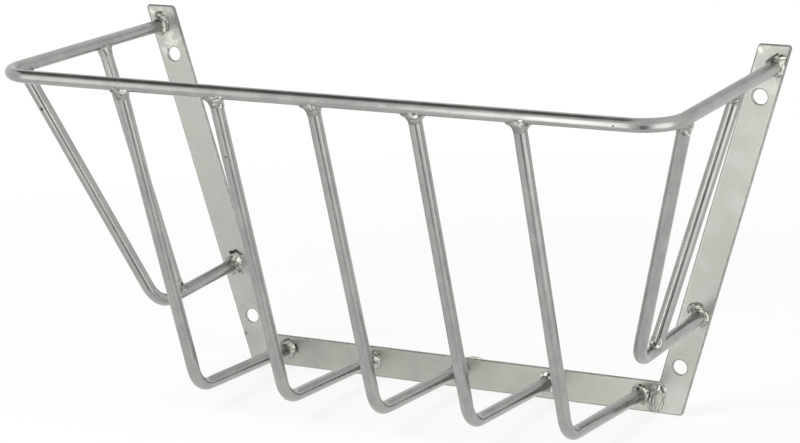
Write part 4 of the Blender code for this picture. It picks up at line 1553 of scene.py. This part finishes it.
class HAYRACK_OT_saddle_welds(bpy.types.Operator):
    """Lay the beads where a bar meets another rod"""

    bl_idname = "hay_rack.saddle_welds"
    bl_label = "Saddle Welds"

    def execute(self, context):
        rim = rim_corners()
        joints = []
        for number in FRONT_BARS:
            top, knee, _ = front_bar_corners(number)
            joints.append((f"weld_front_bar_{number}_to_rim", top, top - knee, rim[2] - rim[1],
                           FRONT_FLARES[number - 1]))
        for side, hand in SIDES:
            arm = (arm_point(side, 0) - arm_point(side, RIM_DEPTH)) * side
            top, knee, foot = corner_bar_corners(side)
            side_top, side_foot = side_bar_ends(side)
            joints += [
                (f"weld_{hand}_corner_bar_to_rim", top, top - knee, arm, CORNER_FLARES[::side]),
                (f"weld_{hand}_side_bar_to_rim", side_top, side_top - side_foot, arm, SIDE_TOP_FLARES),
                (f"weld_{hand}_side_bar_to_corner_bar", side_foot, side_foot - side_top, foot - knee,
                 SIDE_FOOT_FLARES),
            ]
        for seed, (name, joint, direction, carrier, flares) in enumerate(joints, SADDLE_SEED):
            add_weld(name, saddle_mesh(name, joint, direction, carrier, seed, flares))
        return {"FINISHED"}


class HAYRACK_OT_collar_welds(bpy.types.Operator):
    """Lay the beads round the rods' ends on the straps"""

    bl_idname = "hay_rack.collar_welds"
    bl_label = "Collar Welds"

    def execute(self, context):
        rim = rim_corners()
        feet = [("weld_rim_to_left_strap", rim[0]), ("weld_rim_to_right_strap", rim[-1])]
        feet += [(f"weld_front_bar_{number}_to_cross_strap", front_bar_corners(number)[-1])
                 for number in FRONT_BARS]
        feet += [(f"weld_{hand}_corner_bar_to_strap", corner_bar_corners(side)[-1])
                 for side, hand in SIDES]
        for seed, (name, foot) in enumerate(feet, COLLAR_SEED):
            add_weld(name, collar_mesh(name, foot, seed))
        return {"FINISHED"}


class HAYRACK_OT_seam_welds(bpy.types.Operator):
    """Lay the beads over the seams between the straps"""

    bl_idname = "hay_rack.seam_welds"
    bl_label = "Seam Welds"

    def execute(self, context):
        for seed, (side, hand) in enumerate(SIDES, SEAM_SEED):
            name = f"weld_cross_strap_to_{hand}_strap"
            add_weld(name, seam_mesh(name, side, seed))
        return {"FINISHED"}


class HAYRACK_OT_spatter(bpy.types.Operator):
    """Leave a long drop of weld metal on the cross strap and a barb on a front bar's knee"""

    bl_idname = "hay_rack.spatter"
    bl_label = "Weld Spatter"

    def execute(self, context):
        sizes = context.scene.hay_rack_sizes
        bend = corner_arc(*front_bar_corners(BARB_BAR), sizes.bar_bend_radius)
        drops = (
            # the drop's tint of 0.35 lightens it by part of the painted highlight
            ("cross_strap_drop", Vector((*DROP_PLACE, sizes.strap_width / 2 - 0.0001)), DROP_SIZE, 0.35),
            ("front_bar_knee_barb", bend[len(bend) // 2] + Vector(BARB_WAY) * sizes.rod_diameter / 2,
             BARB_SIZE, 0.0),
        )
        for seed, (name, place, size, tint) in enumerate(drops, SPATTER_SEED):
            mesh = spatter_mesh(name, place, size, tint, seed)
            new_piece(name, mesh, steel("weld_bead_steel"), "weld_metal")
        return {"FINISHED"}


# Stage

RACK_MIDDLE = Vector((0, -0.1, 0.13))
SENSOR_WIDTH = 36
CLIP_END = 100

# The floor's size and paint, and the distances between which it turns from the white that
# lets a shadow show to plain white
FLOOR_RADIUS = 24
FLOOR_PAINT = (0.95, 0.95, 0.95, 1)
SHADOW_REACH = (0.30, 1.0)
SHADOW_WHITE = 0.80

# Lamps: name, place, target, width and power
SOFTBOXES = (
    ("key_softbox", (-0.9, -1.5, 1.7), (0, 0, 0.1), 1.2, 26),
    ("fill_softbox", (1.6, -0.9, 1.3), (0, 0, 0.1), 1.2, 15),
)

# Cards for the steel to mirror: name, centre, width and height, brightness and soft edges
CARDS = (
    ("front_light_card", (-0.145, -1.00, 0.13), (0.29, 1.58), (3.30, 3.30, 3.24), (0.45, 0.70)),
    ("left_light_card", (-0.76, -1.00, 0.27), (0.50, 1.20), (1.80, 1.80, 1.76), (0.45, 0.65)),
    ("front_dark_card", (0.56, -1.10, -0.15), (0.42, 1.50), (0.02, 0.02, 0.02), (0.40, 0.38)),
    ("right_light_card", (1.16, -0.58, 0.08), (1.05, 1.55), (2.40, 2.40, 2.36), (0.35, 0.40)),
    ("right_back_card", (1.25, 0.55, 0.00), (0.95, 1.50), (1.00, 1.00, 0.99), (0.35, 0.40)),
    ("overhead_dark_card", (-0.60, -0.20, 1.30), (1.45, 1.25), (0.16, 0.16, 0.16), (0.20, 0.25)),
    ("back_dim_card", (0.10, 1.20, 0.70), (1.30, 0.80), (0.70, 0.71, 0.73), (0.40, 0.50)),
)


def glow(tree, colour):
    """Light of a colour, which may be brighter than white."""
    made = tree.nodes.new("ShaderNodeEmission")
    made.inputs["Color"].default_value = (*colour, 1)
    return made.outputs[0]


def bare_material(name):
    """A stage material and its nodes, none as yet. Its glow isn't sampled as a lamp's."""
    material = bpy.data.materials.new(name)
    material.use_nodes = True
    material.node_tree.nodes.clear()
    material.cycles.emission_sampling = "NONE"
    return material, material.node_tree


def end_in_mix(tree, share, first, second):
    """Ends a stage material in a mix of two shaders by a share."""
    mix = tree.nodes.new("ShaderNodeMixShader")
    for socket, value in zip(mix.inputs, (share, first, second)):
        tree.links.new(value, socket)
    out = tree.nodes.new("ShaderNodeOutputMaterial")
    tree.links.new(mix.outputs[0], out.inputs["Surface"])


def clear_view(tree):
    """1 for what the camera sees, also by way of metal or glass, and 0 for the rest."""
    seen = tree.nodes.new("ShaderNodeLightPath").outputs
    return maths(tree, "MAXIMUM", seen["Is Camera Ray"],
                 maths(tree, "MAXIMUM", seen["Is Glossy Ray"], seen["Is Transmission Ray"]))


def card(name, centre, size, value, soft):
    """A card that only reflections see: light or dark, and fading out at its edges.

    It faces the middle of the rack. soft is the share of its half size that the fade takes.
    """
    work = bmesh.new()
    bmesh.ops.create_grid(work, x_segments=1, y_segments=1, size=1)
    thing = placed(name, new_mesh(name, work))
    facing = (RACK_MIDDLE - Vector(centre)).to_track_quat("Z", "Y").to_matrix().to_4x4()
    half_size = Matrix.Diagonal((size[0] / 2, size[1] / 2, 1, 1))
    thing.matrix_world = Matrix.Translation(centre) @ facing @ half_size
    material, tree = bare_material(name)
    place = split(tree, object_place(tree))
    fades = [ranged(tree, maths(tree, "ABSOLUTE", place[axis]), 1.0, 1.0 - soft[axis]) for axis in (0, 1)]
    clear = tree.nodes.new("ShaderNodeBsdfTransparent").outputs[0]
    end_in_mix(tree, times(tree, *fades), clear, glow(tree, value))
    thing.data.materials.append(material)
    thing.visible_camera = False
    thing.visible_diffuse = False
    thing.visible_shadow = False
    thing.visible_transmission = False


def pale_floor(drop):
    """A wide floor that stays white to the camera and keeps a soft shadow near the rack."""
    low = CAD_BOX[0][2] - drop
    work = bmesh.new()
    bmesh.ops.create_circle(work, cap_ends=True, segments=96, radius=FLOOR_RADIUS,
                            matrix=Matrix.Translation((0, 0, low)))
    floor = placed("floor", new_mesh("floor", work))
    material, tree = bare_material("pale_floor")
    paint = tree.nodes.new("ShaderNodeBsdfDiffuse")
    paint.inputs["Color"].default_value = FLOOR_PAINT
    far = ranged(tree, gap_to(tree, object_place(tree), (0, 0, 0)), *SHADOW_REACH, SHADOW_WHITE, 1.0)
    end_in_mix(tree, times(tree, far, clear_view(tree)), paint.outputs[0], glow(tree, (1, 1, 1)))
    floor.data.materials.append(material)
    floor.visible_glossy = False


def white_surround(level):
    """A world that is white to the camera and to reflections, and a plain level for the rest."""
    world = bpy.data.worlds.new("white_surround")
    world.use_nodes = True
    tree = world.node_tree
    tree.nodes.clear()
    back = tree.nodes.new("ShaderNodeBackground")
    back.inputs["Color"].default_value = (1, 1, 1, 1)
    strength = ranged(tree, clear_view(tree), 0, 1, level, 1.0, smooth=False)
    tree.links.new(strength, back.inputs["Strength"])
    out = tree.nodes.new("ShaderNodeOutputWorld")
    tree.links.new(back.outputs[0], out.inputs["Surface"])
    world.cycles.sampling_method = "NONE"
    bpy.context.scene.world = world


def softbox(name, place, target, size, power):
    """A square area lamp aimed at a point. Its reflection comes from its card instead."""
    light = bpy.data.lights.new(name, "AREA")
    light.shape = "SQUARE"
    light.size = size
    light.energy = power
    lamp = placed(name, light)
    lamp.location = place
    lamp.rotation_euler = (Vector(target) - Vector(place)).to_track_quat("-Z", "Y").to_euler()
    lamp.visible_glossy = False
    lamp.visible_camera = False


def photo_camera(stage):
    """The camera, turned left by its yaw, tipped by its pitch and rolled."""
    yaw, pitch, roll = stage.camera_turn
    camera = bpy.data.cameras.new("photo_camera")
    camera.sensor_width = SENSOR_WIDTH
    camera.lens = stage.lens
    camera.clip_end = CLIP_END
    thing = placed("photo_camera", camera)
    turn = (Matrix.Rotation(yaw, 4, "Z") @ Matrix.Rotation(math.pi / 2 + pitch, 4, "X")
            @ Matrix.Rotation(roll, 4, "Z"))
    thing.matrix_world = Matrix.Translation(stage.camera_place) @ turn
    bpy.context.scene.camera = thing


class HAYRACK_OT_stage(bpy.types.Operator):
    """Set the floor, the white surround, the lamps, the cards and the camera"""

    bl_idname = "hay_rack.stage"
    bl_label = "Stage"

    def execute(self, context):
        stage = context.scene.hay_rack_stage
        photo_camera(stage)
        white_surround(stage.light_level)
        pale_floor(stage.floor_drop)
        for lamp in SOFTBOXES:
            softbox(*lamp)
        for values in CARDS:
            card(*values)
        return {"FINISHED"}


class HAYRACK_PT_panel(bpy.types.Panel):
    """Lists the rack's pieces, sizes and colours."""

    bl_idname = "HAYRACK_PT_panel"
    bl_label = "Hay Rack"
    bl_space_type = "VIEW_3D"
    bl_region_type = "UI"
    bl_category = "Hay Rack"

    def draw(self, context):
        layout = self.layout
        for operator in OPERATORS:
            layout.operator(operator.bl_idname)
        for group, key in GROUPS.items():
            box = layout.box()
            box.label(text=group.__doc__)
            for name in group.__annotations__:
                box.prop(getattr(context.scene, key), name)


GROUPS = {
    HayRackSizes: "hay_rack_sizes",
    HayRackWelds: "hay_rack_welds",
    HayRackFinish: "hay_rack_finish",
    HayRackStage: "hay_rack_stage",
}

OPERATORS = (
    HAYRACK_OT_rim,
    HAYRACK_OT_front_bars,
    HAYRACK_OT_corner_bars,
    HAYRACK_OT_side_bars,
    HAYRACK_OT_mounting_straps,
    HAYRACK_OT_cross_strap,
    HAYRACK_OT_saddle_welds,
    HAYRACK_OT_collar_welds,
    HAYRACK_OT_seam_welds,
    HAYRACK_OT_spatter,
    HAYRACK_OT_stage,
)


def register():
    """Registers the groups of sizes and colours, the operators and the panel."""
    for group, key in GROUPS.items():
        bpy.utils.register_class(group)
        setattr(bpy.types.Scene, key, PointerProperty(type=group))
    for operator in OPERATORS:
        bpy.utils.register_class(operator)
    bpy.utils.register_class(HAYRACK_PT_panel)


def unregister():
    """Takes back what register did, in the opposite order."""
    bpy.utils.unregister_class(HAYRACK_PT_panel)
    for operator in reversed(OPERATORS):
        bpy.utils.unregister_class(operator)
    for group, key in reversed(GROUPS.items()):
        delattr(bpy.types.Scene, key)
        bpy.utils.unregister_class(group)


def main():
    """Builds the rack and its stage."""
    register()
    bpy.context.scene.view_settings.view_transform = "Standard"
    bpy.ops.hay_rack.rim()
    bpy.ops.hay_rack.front_bars()
    bpy.ops.hay_rack.corner_bars()
    bpy.ops.hay_rack.side_bars()
    bpy.ops.hay_rack.mounting_straps()
    bpy.ops.hay_rack.cross_strap()
    bpy.ops.hay_rack.saddle_welds()
    bpy.ops.hay_rack.collar_welds()
    bpy.ops.hay_rack.seam_welds()
    bpy.ops.hay_rack.spatter()
    bpy.ops.hay_rack.stage()


if __name__ == "__main__":
    main()
